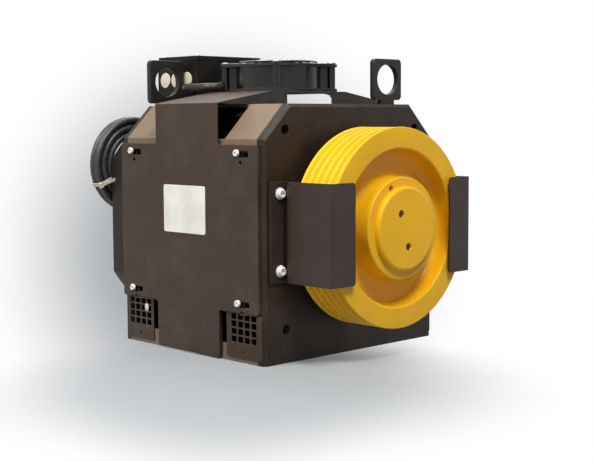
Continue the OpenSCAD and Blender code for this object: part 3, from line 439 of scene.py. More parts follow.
class Coat(Enum):
    """The finishes of the machine, by the record's slot names."""

    PLATE = Paint("plate_paint", "241a12", 0.5, 0.5, 0.06, wear=0.3, edge=0.0012)
    CASING = Paint("casing_paint", "7a6857", 0.42, 0.3, 0.08)
    COVER = Paint("cover_paint", "3b2c20", 0.4, 0.25, 0.08, wear=0.3)
    HOOD = Paint("hood_paint", "4b3f36", 0.42, 0.25, 0.1)
    GRILLE = Paint("grille_paint", "3d2f24", 0.45, 0.25, 0.12)
    GUARD = Paint("guard_paint", "372a25", 0.42, 0.25, 0.05, wear=0.35)
    REAR_CASE = Paint("brake_cover_paint", "1c150c", 0.5, 0.4, 0.05)
    EYE = Paint("eye_steel", "1f1b1a", 0.4, 0.6, 0.04, wear=0.3, edge=0.001)
    STATOR = Paint("stator_paint", "3a342f", 0.5, 0.5, 0.08)
    FAN_BLACK = Paint("fan_black", "0b0b0c", 0.22, 0.3, 0.02, wear=0.2, edge=0.0008, shine=0.4)
    BRAKE_BLACK = Paint("brake_black", "2c2a29", 0.45, 0.4, 0.08)
    BOX = Paint("tbox_paint", "120e0c", 0.45, 0.3, 0.03, shine=0.12)
    LABEL = Moulded("label_blank", "f0eee6", 0.38, 0.05, 0.05)
    ZINC = BareMetal("zinc", "a9a9a4", 0.26, stain=0.45)
    WIRE = BareMetal("guard_wire", "77787a", 0.25, stain=0.2)
    STEEL = BareMetal("machined_steel", "b7bbbf", 0.28, (1.0, 30.0, 1.0))
    IRON = BareMetal("rotor_iron", "55575a", 0.5, (1.0, 12.0, 1.0), stain=0.3)
    CAP_SCREW = BareMetal("cap_screw", "54461f", 0.45, stain=0.5)
    YELLOW = Paint("sheave_paint", "fbc01c", 0.34, 0.2, 0.0, "b98a2a", 0.25, "8a6a1c",
                   0.0014, 0.12, 0.2)
    FAN_PLASTIC = Moulded("fan_plastic", "151517", 0.42)
    FRICTION = Moulded("friction", "6b5c4c", 0.8, 0.8)
    ENCODER = Moulded("encoder_grey", "333539", 0.45)
    GLAND = Moulded("gland_black", "1b1b1b", 0.4)
    CREAM = Moulded("terminal_cream", "dcd4bd", 0.4, 0.1, 0.1)
    TIE = Moulded("tie_white", "d2cbbb", 0.4, 0.1, 0.05)
    SHEATH = Moulded("cable_black", "29292a", 0.4, 0.3, 0.25, "77756f")
    LAMINATION = Laminated("lamination", "6d7175")
    COPPER = Wound("copper", "b0652f")


@cache
def material_of(coat: Coat) -> bpy.types.Material:
    """The material of one finish, built when it is first asked for."""
    return coat.value.build()


def dress_nodes(frame: dict) -> None:
    """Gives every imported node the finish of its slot.
    """
    by_slot = {coat.value.name: coat for coat in Coat}
    slots = {p["node"]: p["material_slot"] for p in frame["record"]["subparts"]}
    for name, node in frame["nodes"].items():
        material = material_of(by_slot[slots[name]])
        node.data.materials.clear()
        node.data.materials.append(material)
    log.info("finishes on %d nodes", len(frame["nodes"]))


# ---------------------------------------------------------------- shapes


def link_object(name: str, data: bpy.types.ID) -> bpy.types.Object:
    """Makes an object and puts it in the scene.

    Args:
        name: the object's name.
        data: its mesh, curve, lamp or camera.

    Returns:
        The object.
    """
    made = bpy.data.objects.new(name, data)
    bpy.context.scene.collection.objects.link(made)
    return made


def shade_up_to(mesh: bpy.types.Mesh, angle: float) -> None:
    """Shades a mesh round, but for edges sharper than an angle in degrees."""
    mesh.shade_smooth()
    mesh.set_sharp_from_angle(angle=math.radians(angle))


def mesh_object(name: str, bm: bmesh.types.BMesh, material: bpy.types.Material,
                smooth: float = SMOOTH) -> bpy.types.Object:
    """Turns gathered faces into an object.

    Args:
        name: the object's name.
        bm: the faces, which are freed.
        material: finish of the whole object.
        smooth: largest angle in degrees that is shaded round.

    Returns:
        The object, with its place in its mesh.
    """
    mesh = bpy.data.meshes.new(name)
    bm.to_mesh(mesh)
    bm.free()
    mesh.materials.append(material)
    shade_up_to(mesh, smooth)
    return link_object(name, mesh)


def evaluated(piece: bpy.types.Object) -> bpy.types.Mesh:
    """Takes the mesh that an object's settings and modifiers make.

    Args:
        piece: the object.

    Returns:
        A new mesh.
    """
    bpy.context.view_layer.update()
    return bpy.data.meshes.new_from_object(
        piece.evaluated_get(bpy.context.evaluated_depsgraph_get()))


def bake(piece: bpy.types.Object) -> None:
    """Turns modifiers into plain mesh.

    Args:
        piece: the object that has them.
    """
    old, piece.data = piece.data, evaluated(piece)
    piece.modifiers.clear()
    bpy.data.meshes.remove(old)


def reshape(piece: bpy.types.Object, kind: str, settings: dict[str, object],
            smooth: float = SMOOTH) -> bpy.types.Object:
    """Changes a piece by one modifier for good.

    Args:
        piece: the object.
        kind: the modifier's type.
        settings: its properties.
        smooth: largest angle in degrees that is shaded round.

    Returns:
        The same object.
    """
    mod = piece.modifiers.new("shape", kind)
    for name, value in settings.items():
        setattr(mod, name, value)
    bake(piece)
    shade_up_to(piece.data, smooth)
    return piece


def cut(piece: bpy.types.Object, tool: bpy.types.Object, smooth: float) -> None:
    """Takes one shape out of another and removes the tool.

    Args:
        piece: the object that is cut.
        tool: the shape that is taken out.
        smooth: largest angle in degrees that is shaded round.
    """
    reshape(piece, "BOOLEAN", {"operation": "DIFFERENCE", "solver": "EXACT", "object": tool},
            smooth)
    bpy.data.objects.remove(tool)


def soften(piece: bpy.types.Object, width: float, segments: int,
           angle: float = 40.0) -> bpy.types.Object:
    """Rounds the sharper edges of a piece.

    Args:
        piece: the object.
        width: width of the rounding in metres.
        segments: facets of the rounding.
        angle: edges below this angle in degrees stay as they are.

    Returns:
        The same object.
    """
    return reshape(piece, "BEVEL", {
        "width": width, "segments": segments, "limit_method": "ANGLE",
        "angle_limit": math.radians(angle), "harden_normals": False})


def settle(piece: bpy.types.Object, coat: Coat, *nodes: str,
           body: str = "machine") -> bpy.types.Object:
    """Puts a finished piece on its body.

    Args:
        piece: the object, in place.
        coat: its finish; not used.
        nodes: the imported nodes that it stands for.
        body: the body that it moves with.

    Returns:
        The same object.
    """
    faces = 0
    if piece.type == "MESH":
        mod = piece.modifiers.new("flat", "WEIGHTED_NORMAL")
        mod.keep_sharp = True
        mod.weight = 100
        bake(piece)
        faces = len(piece.data.polygons)
    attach(piece, body)
    if nodes:
        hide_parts(*nodes)
    log.info("%s: %d faces on %s", piece.name, faces, body)
    return piece


def merge(name: str, *pieces: bpy.types.Object) -> bpy.types.Object:
    """Joins several objects of one finish into one.

    Args:
        name: name of the joined object.
        pieces: the objects, which are removed.

    Returns:
        The joined object.
    """
    gathered = bmesh.new()
    material = pieces[0].data.materials[0]
    for piece in pieces:
        gathered.from_mesh(piece.data)
        bpy.data.objects.remove(piece)
    return mesh_object(name, gathered, material)


def arc(cu: float, cv: float, radius: float, start: float, end: float, steps: int) -> list[Flat]:
    """Points of an arc in degrees, both ends included."""
    return [(cu + radius * math.cos(math.radians(a)), cv + radius * math.sin(math.radians(a)))
            for a in (start + (end - start) * i / steps for i in range(steps + 1))]


def rounded_box(u0: float, v0: float, u1: float, v1: float, r: float,
                steps: int = 4) -> list[Flat]:
    """Outline of a rectangle with corners of radius r."""
    return (arc(u1 - r, v1 - r, r, 0, 90, steps) + arc(u0 + r, v1 - r, r, 90, 180, steps)
            + arc(u0 + r, v0 + r, r, 180, 270, steps) + arc(u1 - r, v0 + r, r, 270, 360, steps))


def circle(cu: float, cv: float, radius: float, steps: int = 32) -> list[Flat]:
    """Outline of a circle."""
    return arc(cu, cv, radius, 0, 360 - 360 / steps, steps - 1)


class Solid:
    """Gathers parts of a mesh, drawn in the shared frame, into one object."""

    def __init__(self, name: str) -> None:
        """Starts an empty mesh."""
        self.name, self.bm = name, bmesh.new()

    def skin(self, rings: Sequence[Sequence[Point]], shut: bool = True, around: bool = False,
             caps: bool = False) -> None:
        """Joins neighbouring rings of points by quads.

        Args:
            rings: the rings, all with as many points.
            shut: joins the last point of a ring to its first.
            around: joins the last ring to the first.
            caps: fills the first and the last ring.
        """
        made = [[self.bm.verts.new(p) for p in ring] for ring in rings]
        for a, b in zip(made, made[1:] + made[:1] * around):
            for k in range(len(a) - (not shut)):
                m = (k + 1) % len(a)
                self.bm.faces.new((a[k], a[m], b[m], b[k]))
        if caps:
            self.bm.faces.new(made[0][::-1])
            self.bm.faces.new(made[-1])

    def lathe(self, profile: Sequence[Flat], centre: Point, axis: str = "Y",
              steps: int = 96, closed: bool = False) -> None:
        """Turns a section round an axis.

        Args:
            profile: (radius, place along the axis) in metres.
            centre: a point of the axis, whose own place is the section's zero.
            axis: "X", "Y" or "Z".
            steps: number of facets round the axis.
            closed: joins the last point of the section to the first.
        """
        rings = []
        for a in spokes(steps):
            ring = []
            for r, h in profile:
                local = [r * math.cos(a), r * math.sin(a)]
                local.insert("XYZ".index(axis), h)
                ring.append([p + q for p, q in zip(centre, local)])
            rings.append(ring)
        self.skin(rings, closed, True)

    def rod(self, centre: Point, radius: float, start: float, end: float, axis: str = "Y",
            steps: int = 24) -> None:
        """A round bar from one place on its axis to another."""
        self.lathe([(0.0, start), (radius, start), (radius, end), (0.0, end)],
                   centre, axis, steps)

    def slab(self, outline: Sequence[Flat], low: float, high: float, lift: Lift) -> None:
        """A flat outline given thickness, from one place across it to another."""
        self.skin([[lift(u, v, w) for u, v in outline] for w in (low, high)], caps=True)

    def plate(self, outline: Sequence[Flat], holes: Iterable[Sequence[Flat]], low: float,
              high: float, rim: float, lift: Lift, rim_steps: int = 2) -> None:
        """A sheet with holes and rounded rims.

        Args:
            outline: the outer corner points, in the sheet's own plane.
            holes: the corner points of each hole.
            low: place of one face across the sheet.
            high: place of the other face.
            rim: radius of the rounded rims.
            lift: turns (u, v, w) into a point of the shared frame.
            rim_steps: facets of the rounding, less one.
        """
        curve = bpy.data.curves.new(self.name, "CURVE")
        curve.dimensions = "2D"
        curve.fill_mode = "BOTH"
        c, s = math.cos(SKEW), math.sin(SKEW)
        for loop in (outline, *holes):
            spline = curve.splines.new("POLY")
            spline.points.add(len(loop) - 1)
            for point, (u, v) in zip(spline.points, loop):
                point.co = (c * u - s * v, s * u + c * v, 0.0, 1.0)
            spline.use_cyclic_u = True
        curve.extrude = (high - low) / 2 - rim
        curve.bevel_depth = rim
        curve.bevel_resolution = rim_steps
        curve.offset = -rim
        holder = link_object(self.name, curve)
        mesh = evaluated(holder)
        bpy.data.objects.remove(holder)
        bpy.data.curves.remove(curve)
        for vertex in mesh.vertices:
            u, v, w = vertex.co
            vertex.co = lift(c * u + s * v, c * v - s * u, w + (low + high) / 2)
        self.bm.from_mesh(mesh)
        bpy.data.meshes.remove(mesh)

    def tube(self, path: Sequence[Point], radius: float, sides: int,
             closed: bool = False) -> None:
        """A round wire along a path.

        Args:
            path: points of the centre line.
            radius: radius of the wire.
            sides: facets round the wire.
            closed: joins the end to the start.
        """
        points = [Vector(p) for p in path]
        last = len(points) - 1
        rings: list[list[Vector]] = []
        side = None
        for i, p in enumerate(points):
            before = points[i - 1] if closed or i else p
            after = points[(i + 1) % (last + 1)] if closed or i < last else p
            ahead = (after - before).normalized()
            if side is None:
                side = ahead.orthogonal().normalized()
            side = (side - ahead * side.dot(ahead)).normalized()
            up = ahead.cross(side)
            rings.append([p + radius * (math.cos(t) * side + math.sin(t) * up)
                          for t in spokes(sides)])
        self.skin(rings, around=closed, caps=not closed)

    def make(self, coat: Coat, smooth: float = SMOOTH) -> bpy.types.Object:
        """Closes the mesh and makes it an object.

        Args:
            coat: its finish.
            smooth: largest angle in degrees that is shaded round.

        Returns:
            The object.
        """
        bmesh.ops.remove_doubles(self.bm, verts=self.bm.verts, dist=1e-6)
        bmesh.ops.dissolve_degenerate(self.bm, dist=1e-7, edges=self.bm.edges)
        bmesh.ops.recalc_face_normals(self.bm, faces=self.bm.faces)
        return mesh_object(self.name, self.bm, material_of(coat), smooth)

    def finish(self, coat: Coat, *nodes: str, smooth: float = SMOOTH,
               body: str = "machine") -> bpy.types.Object:
        """Makes the object and settles it.

        Args:
            coat: its finish.
            nodes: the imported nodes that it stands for.
            smooth: largest angle in degrees that is shaded round.
            body: the body that it moves with.

        Returns:
            The object.
        """
        return settle(self.make(coat, smooth), coat, *nodes, body=body)


# ---------------------------------------------------------------- studio


@dataclass
class Studio:
    """Camera, lamps, floor and the pale surroundings, with a painted soft shadow round the machine.
    """

    place: Point = (-1.176, -1.271, 0.309)
    azimuth: float = -43.8
    pitch: float = 4.9
    roll: float = -0.29
    lens: float = 73.9
    shift_y: float = -0.0098
    # painted shadow: the seen world turns grey round this direction, a halo that stands in for the
    # machine's soft shadow
    painted_shadow_dir: Point = (0.6442, 0.7569, -0.11)
    painted_shadow_span: Flat = (0.075, 0.205)
    painted_shadow_tint: Colour = (0.41, 0.43, 0.45, 1.0)
    # painted shadow: the floor is grey near this point and fades to clear further out, standing in
    # for a soft shadow pool
    painted_shadow_centre: Point = (-0.235, -0.215, 0.0)
    painted_shadow_fade: Flat = (0.11, 0.37)
    floor_painted_shade_tint: Colour = (0.33, 0.35, 0.37, 1.0)
    floor_half: float = 1.6
    ambient: float = 0.24
    ambient_tint: Colour = (0.95, 0.97, 1.0, 1.0)

    def camera(self) -> None:
        """Sets the camera."""
        a, e, r = (math.radians(v) for v in (self.azimuth, self.pitch, self.roll))
        back = Vector((math.sin(a) * math.cos(e), -math.cos(a) * math.cos(e), math.sin(e)))
        level = Vector((math.cos(a), math.sin(a), 0.0))
        rise = back.cross(level)
        right = math.cos(r) * level + math.sin(r) * rise
        up = math.cos(r) * rise - math.sin(r) * level
        data = bpy.data.cameras.new("camera")
        data.lens = self.lens
        data.sensor_width = 36.0
        data.shift_y = self.shift_y
        made = link_object("camera", data)
        turn = Matrix((right, up, back)).transposed()
        made.matrix_world = Matrix.Translation(self.place) @ turn.to_4x4()
        bpy.context.scene.camera = made

    def lamp(self, name: str, place: Point, target: Point, size: float, power: float,
             colour: Point = (1.0, 1.0, 1.0)) -> None:
        """Adds one soft square lamp.

        Args:
            name: the lamp's name.
            place: where it hangs.
            target: what it points at.
            size: its side in metres.
            power: watts.
            colour: linear colour of its light.
        """
        data = bpy.data.lights.new(name, "AREA")
        data.shape = "RECTANGLE"
        data.size = data.size_y = size
        data.energy = power
        data.color = colour
        made = link_object(name, data)
        made.location = place
        aim = Vector(target) - Vector(place)
        made.rotation_euler = aim.to_track_quat("-Z", "Y").to_euler()

    def surroundings(self) -> None:
        """Makes the world: white with a painted soft grey shadow halo when seen, a plain level as a
        light.
        """
        world = bpy.data.worlds.new("world")
        bpy.context.scene.world = world
        world.use_nodes = True
        g = Graph(world.node_tree)
        where = g.wire("ShaderNodeTexCoord", output="Generated")
        near = g.wire("ShaderNodeVectorMath", {"operation": "DOT_PRODUCT"},
                      {0: where, 1: self.painted_shadow_dir}, "Value")
        angle = g.wire("ShaderNodeMath", {"operation": "ARCCOSINE"}, {0: near})
        # painted shadow: grey near the halo's direction, white beyond it
        tint = g.blend(g.ease(angle, self.painted_shadow_span), self.painted_shadow_tint, (1.0, 1.0, 1.0, 1.0))
        seen = g.wire("ShaderNodeBackground", {}, {0: tint, 1: 1.0})
        lit = g.wire("ShaderNodeBackground", {}, {0: self.ambient_tint, 1: self.ambient})
        path = g.node("ShaderNodeLightPath").outputs
        shown = (Wire(g, path["Is Camera Ray"]) + path["Is Glossy Ray"]
                 + path["Is Transmission Ray"]).clear()
        mix = g.wire("ShaderNodeMixShader", {}, {0: shown, 1: lit, 2: seen})
        g.node("ShaderNodeOutputWorld", {}, {0: mix})

    def floor(self) -> None:
        """Lays a grey floor that keeps the real shadow and fades out away from a point at the
        machine's lower left, a painted shadow pool.
        """
        s = Shade("floor_pale")
        s.put("Base Color", self.floor_painted_shade_tint)
        s.put("Roughness", 0.9)
        s.put("Specular IOR Level", 0.1)
        # painted shadow pool: the floor fades to clear with distance from its centre
        far = s.wire("ShaderNodeVectorMath", {"operation": "DISTANCE"},
                     {0: s.place, 1: self.painted_shadow_centre}, "Value")
        s.feed(s.output.inputs[0], s.wire("ShaderNodeMixShader", {}, {
            0: s.ease(far, self.painted_shadow_fade), 1: s.surface.outputs[0],
            2: s.wire("ShaderNodeBsdfTransparent")}))
        mesh = bpy.data.meshes.new("floor")
        r = self.floor_half
        mesh.from_pydata([(-r, -r, 0), (r, -r, 0), (r, r, 0), (-r, r, 0)], [], [(0, 1, 2, 3)])
        mesh.materials.append(s.material)
        link_object("floor", mesh)

    def build(self) -> None:
        """Makes the whole studio."""
        bpy.context.scene.view_settings.view_transform = "Standard"
        self.camera()
        self.surroundings()
        self.floor()
        self.lamp("key", (-1.7, 0.1, 1.9), (0, 0, 0.2), 1.2, 50.0, (1.0, 0.975, 0.94))
        self.lamp("front", (-0.5, -1.2, 1.9), (0, -0.2, 0.25), 0.6, 37.0, (1.0, 0.98, 0.94))
        self.lamp("top", (0.6, 0.9, 1.9), (0, 0, 0.3), 1.4, 16.0)
        log.info("studio ready")


# ---------------------------------------------------------------- repeated fasteners


@dataclass
class ScrewField:
    """Equal socket screws at given places, made by one node tree."""

    name: str
    places: list[Point]
    out: Point
    radius: float
    height: float
    socket: float
    washer: float = 0.0
    facets: int = 32
    socket_facets: int = 6
    washer_height: float = 0.0016

    def _tree(self, material: bpy.types.Material) -> bpy.types.GeometryNodeTree:
        """Makes the node tree that sets one screw on every point.

        Args:
            material: finish of the screws.

        Returns:
            The tree.
        """
        tree = bpy.data.node_groups.new(self.name + "_tree", "GeometryNodeTree")
        sizes = ("Head Radius", "Head Height", "Socket Radius", "Washer Radius")
        for label, kind in (("Points", "Geometry"), *((size, "Float") for size in sizes),
                            ("Turn", "Vector")):
            tree.interface.new_socket(label, in_out="INPUT", socket_type="NodeSocket" + kind)
        tree.interface.new_socket("Screws", in_out="OUTPUT", socket_type="NodeSocketGeometry")
        g = Graph(tree)
        given = g.node("NodeGroupInput").outputs
        radius, height, socket, washer = (Wire(g, given[size]) for size in sizes)

        def drum(facets: int, size: Wire, depth: object) -> Wire:
            """A bar of so many facets."""
            return g.wire("GeometryNodeMeshCylinder", {"fill_type": "NGON"},
                          {"Vertices": facets, "Radius": size, "Depth": depth})

        def raised(shape: Wire, rise: Wire) -> Wire:
            """A shape moved outwards."""
            up = g.wire("ShaderNodeCombineXYZ", {}, {2: rise})
            return g.wire("GeometryNodeTransform", {}, {"Geometry": shape, "Translation": up})

        crown = g.wire("GeometryNodeMeshCone", {"fill_type": "NGON"}, {
            "Vertices": self.facets, "Radius Top": radius * 0.86, "Radius Bottom": radius,
            "Depth": height * 0.2})
        barrel = raised(drum(self.facets, radius, height * 0.8), height * 0.4)
        union = g.node("GeometryNodeMeshBoolean", {"operation": "UNION", "solver": "EXACT"},
                       {"Mesh 2": barrel})
        g.feed(union.inputs["Mesh 2"], raised(crown, height * 0.8))
        shape = g.wire("GeometryNodeMeshBoolean", {"operation": "DIFFERENCE", "solver": "EXACT"}, {
            "Mesh 1": union.outputs["Mesh"],
            "Mesh 2": raised(drum(self.socket_facets, socket, height), height)})
        if self.washer:
            both = g.node("GeometryNodeJoinGeometry", {}, {0: shape})
            g.feed(both.inputs[0], drum(self.facets, washer, self.washer_height))
            shape = Wire(g, both.outputs[0])
        spread = g.wire("GeometryNodeInstanceOnPoints", {}, {
            "Points": given["Points"], "Instance": shape, "Rotation": given["Turn"]})
        real = g.wire("GeometryNodeRealizeInstances", {}, {0: spread})
        done = g.wire("GeometryNodeSetMaterial", {}, {"Geometry": real, "Material": material})
        g.node("NodeGroupOutput", {}, {0: done})
        return tree

    def build(self, coat: Coat) -> bpy.types.Object:
        """Makes the screws.

        Args:
            coat: their finish.

        Returns:
            One object with all of them.
        """
        mesh = bpy.data.meshes.new(self.name)
        mesh.from_pydata(self.places, [], [])
        piece = link_object(self.name, mesh)
        tree = self._tree(material_of(coat))
        mod = piece.modifiers.new("screws", "NODES")
        mod.node_group = tree
        turn = Vector((0, 0, 1)).rotation_difference(Vector(self.out)).to_euler()
        values = {"Head Radius": self.radius, "Head Height": self.height,
                  "Socket Radius": self.socket, "Washer Radius": self.washer,
                  "Turn": tuple(turn)}
        for item in tree.interface.items_tree:
            if item.name in values:
                mod[item.identifier] = values[item.name]
        bake(piece)
        shade_up_to(piece.data, SMOOTH)
        bpy.data.node_groups.remove(tree)
        return piece


# ---------------------------------------------------------------- cable


@dataclass
class EncoderCable:
    """The spare encoder cable: up from its gland, six turns, up into the terminal box."""

    diameter: float = 0.0105
    centre: Flat = (-0.084, 0.244)
    radii: tuple[float, float, float] = (0.066, 0.0555, 0.045)
    front: float = along(373.0)
    mouth: float = 0.2035
    return_step: float = 0.0098
    dip: float = -0.005
    shift_from: float = 0.78
    steps: int = 36
    tie_angle: float = 203.0
    tie_half: float = 0.0024
    tie_thick: float = 0.0013

    def turns(self) -> list[Point]:
        """Winds the six turns, inwards on one layer and outwards on the next.

        Returns:
            Points of their centre line.
        """
        d = self.diameter
        far, mid, near = self.radii
        plan = [(far, mid, 0.0, 0.0, 0.0), (mid, near, 0.0, 0.0, 0.0),
                (near, near, 0.0, d, self.dip), (near, mid, d, d, 0.0), (mid, far, d, d, 0.0),
                (far, far, d, d + self.return_step, 0.0)]
        out: list[Point] = []
        for r0, r1, y0, y1, dip in plan:
            for i in range(self.steps):
                t = i / self.steps
                u = max(0.0, (t - self.shift_from) / (1 - self.shift_from))
                ease = u * u * (3 - 2 * u)
                r = r0 + (r1 - r0) * ease + dip * math.sin(math.pi * u) ** 2
                a = 2 * math.pi * t
                out.append((self.centre[0] + r * math.cos(a), self.front + y0 + (y1 - y0) * ease,
                            self.centre[1] + r * math.sin(a)))
        return out

    def route(self) -> list[Point]:
        """Joins the lead, the turns and the climb.

        Returns:
            The centre line, from the encoder's gland to the terminal box.
        """
        x = self.centre[0] + self.radii[0]
        lead = [(x, self.front, self.mouth + self.diameter * i) for i in range(4)]
        rear = self.front + self.diameter + self.return_step
        climb = [(0.0, 244), (0.0, 256), (0.0, 268), (0.0, 280), (0.0, 292), (-0.1, 304),
                 (-0.6, 314), (-1.7, 323), (-3.9, 331.6), (-7.4, 339.8), (-12.4, 347),
                 (-18.6, 353), (-25.4, 357.2), (-32.0, 359.4), (-37.5, 360)]
        return lead + self.turns() + [(x, rear + dy * MM, z * MM) for dy, z in climb]

    def build(self) -> None:
        """Makes the cable and its tie."""
        route = self.route()
        length = sum((Vector(b) - Vector(a)).length for a, b in zip(route, route[1:]))
        curve = bpy.data.curves.new("encoder_cable", "CURVE")
        curve.dimensions = "3D"
        spline = curve.splines.new("POLY")
        spline.points.add(len(route) - 1)
        for point, place in zip(spline.points, route):
            point.co = (*place, 1.0)
        curve.bevel_depth = self.diameter / 2
        curve.bevel_resolution = 3
        curve.use_fill_caps = True
        spline.use_smooth = True
        curve.materials.append(material_of(Coat.SHEATH))
        cable = link_object("encoder_cable", curve)
        settle(cable, Coat.SHEATH, "cable_lead", "cable_coil", "cable_return")
        tie = self.tie()
        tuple(route[0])
        log.info("cable length %.3f m", length)

    def tie(self) -> bpy.types.Object:
        """Makes the nylon tie round the coil, with its lock and its free tail.

        Returns:
            The tie.
        """
        c, s = math.cos(math.radians(self.tie_angle)), math.sin(math.radians(self.tie_angle))
        x, z = self.centre

        def lift(u: float, v: float, w: float) -> Point:
            """From (radius, depth, width) to the shared frame."""
            return (x + c * u - s * w, v, z + s * u + c * w)

        solid = Solid("cable_tie_band")
        room, t, w = self.diameter / 2 + 0.0004, self.tie_thick, self.tie_half
        r0, r1 = self.radii[2] - room, self.radii[0] + room
        y0, y1 = self.front - room, self.front + self.diameter + room
        outer = rounded_box(r0 - t, y0 - t, r1 + t, y1 + t, 0.0058, 6)
        inner = rounded_box(r0, y0, r1, y1, 0.0046, 6)
        solid.skin([[lift(*p, -w), lift(*p, w), lift(*q, w), lift(*q, -w)]
                    for p, q in zip(outer, inner)], around=True)
        lock = rounded_box(r1 - 0.002, y0 - 0.0062, r1 + 0.004, y0 - 0.0006, 0.001, 3)
        solid.slab(lock, -0.0036, 0.0036, lift)
        tail = [(r1 + 0.001, y0 - 0.0046), (r1 + 0.001, y0 - 0.0032), (r1 - 0.022, y0 - 0.0122),
                (r1 - 0.022, y0 - 0.0134)]
        solid.slab(tail, -0.0022, 0.0022, lift)
        return solid.finish(Coat.TIE, "cable_tie")


# ---------------------------------------------------------------- sheave


@dataclass
class TractionSheave:
    """The grooved sheave, its dished web, hub ring, cap and screws, in mm."""

    radius: float = 130.0
    front: float = -84.0
    rear: float = -18.0
    hub_front: float = -88.5
    hub_bore: float = 27.5
    dish: float = 101.5
    dish_depth: float = 26.0
    fillet: float = 14.0
    hub_ring: float = 66.5
    grooves: int = 5
    pitch: float = 12.0
    rope: float = 6.5
    depth: float = 7.0
    puller: tuple[float, float, float] = (57.0, 114.0, 4.0)
    cap_front: float = -96.0
    cap_radius: float = 54.0
    cap_screw_circle: float = 22.5
    cap_screw_turn: float = 18.0
    cap_screw_shift: Flat = (-5.0, -2.0)
    cap_recess: float = 5.0
    cap_bore: float = 2.6

    def turned(self, name: str, section: list[Flat], steps: int, closed: bool,
               smooth: float) -> bpy.types.Object:
        """Turns a section round the shaft line.

        Args:
            name: name of the piece.
            section: (radius, place behind the front plate's face) in mm.
            steps: number of facets.
            closed: joins the last point of the section to the first.
            smooth: largest angle in degrees that is shaded round.

        Returns:
            The piece.
        """
        solid = Solid(name)
        solid.lathe([(r * MM, y * MM) for r, y in section], (0.0, SHIFT_Y, AXIS_Z), "Y", steps,
                    closed)
        return solid.make(Coat.YELLOW, smooth)

    def rim(self) -> list[Flat]:
        """Draws the rim's section with its grooves.

        Returns:
            Its points, from the rear edge to the front edge.
        """
        r, half = self.radius, self.rope / 2
        wall = self.pitch / 2 - 1.0
        points: list[Flat] = [(r - 1.2, self.rear), (r, self.rear - 1.2)]
        for i in reversed(range(self.grooves)):
            y = self.front + 3.0 + self.pitch * (i + 0.5)
            points += [(r - 0.3, y + wall + 0.2), (r - 1.1, y + wall - 0.5)]
            points += arc(r - self.depth + half, y, half, 110, 250, 10)
            points += [(r - 1.1, y - wall + 0.5), (r - 0.3, y - wall - 0.2)]
        return points + [(r, self.front + 1.2), (r - 1.2, self.front)]

    def wheel(self) -> None:
        """Turns the wheel and drills its extraction hole."""
        f, d, ring, hub, q = self.front, self.dish, self.hub_ring, self.hub_front, self.fillet
        web = f + self.dish_depth
        section = self.rim() + [(d + 3, f), (d + 1.2, f + 0.6), (d, f + 2.4)]
        section += arc(d - q, web - q, q, 0, 90, 9)
        section += [(ring + 7, web), (ring + 3, web - 1.4), (ring + 0.8, web - 4.5),
                    (ring, web - 9), (ring, hub + 2), (ring - 0.6, hub + 0.6), (ring - 2, hub),
                    (self.hub_bore, hub), (self.hub_bore, self.rear), (ring - 6, self.rear),
                    (ring - 6, web + 18), (d, web + 18), (d, self.rear)]
        wheel = self.turned("sheave_wheel", section, 180, True, 50.0)
        hole = Solid("puller_hole")
        away, turn, radius = self.puller
        x, z = arc(0.0, AXIS_Z, away * MM, turn, turn, 1)[0]
        hole.rod((x, SHIFT_Y, z), radius * MM, (hub - 2) * MM, (hub + 14) * MM)
        cut(wheel, hole.make(Coat.YELLOW), 50.0)
        settle(wheel, Coat.YELLOW, "traction_sheave", body="rotor")

    def cap(self, screws: list[Flat]) -> None:
        """Makes the round end cap and its screw holes.

        Args:
            screws: X and Z of the cap's screws.
        """
        y, r = self.cap_front, self.cap_radius
        cap = self.turned("sheave_end_cap", [
            (0, y), (r - 4, y), (r - 1.6, y + 0.5), (r - 0.4, y + 1.8), (r, y + 3.5),
            (r, self.hub_front), (0, self.hub_front)], 120, False, 45.0)
        holes = Solid("cap_holes")
        for x, z in screws:
            holes.rod((x, SHIFT_Y, z), self.cap_recess * MM, (y - 1) * MM, (y + 4) * MM)
            holes.rod((x, SHIFT_Y, z), self.cap_bore * MM, (y + 3) * MM,
                      (self.hub_front + 1) * MM)
        cut(cap, holes.make(Coat.YELLOW), 45.0)
        settle(cap, Coat.YELLOW, "sheave_cap", body="rotor")

    def build(self) -> None:
        """Makes the wheel, its cap and the cap's screws."""
        self.wheel()
        a, reach = math.radians(self.cap_screw_turn), self.cap_screw_circle * MM
        dx, dz = (shift * MM for shift in self.cap_screw_shift)
        screws = [(dx - s * reach * math.sin(a), AXIS_Z + dz + s * reach * math.cos(a))
                  for s in (-1, 1)]
        self.cap(screws)
        places = [(x, along(self.cap_front + 4), z) for x, z in screws]
        heads = ScrewField("sheave_cap_screws", places, (0, -1, 0), 0.0038, 0.0028, 0.002)
        settle(heads.build(Coat.CAP_SCREW), Coat.CAP_SCREW, "cap_screws", body="rotor")


# ---------------------------------------------------------------- side covers


class Side(Enum):
    """The two sides of the machine, by the sign of their X."""

    LEFT = -1
    RIGHT = 1

    def named(self, stem: str) -> str:
        """A name that ends in the side's own."""
        return f"{stem}_{self.name.lower()}"


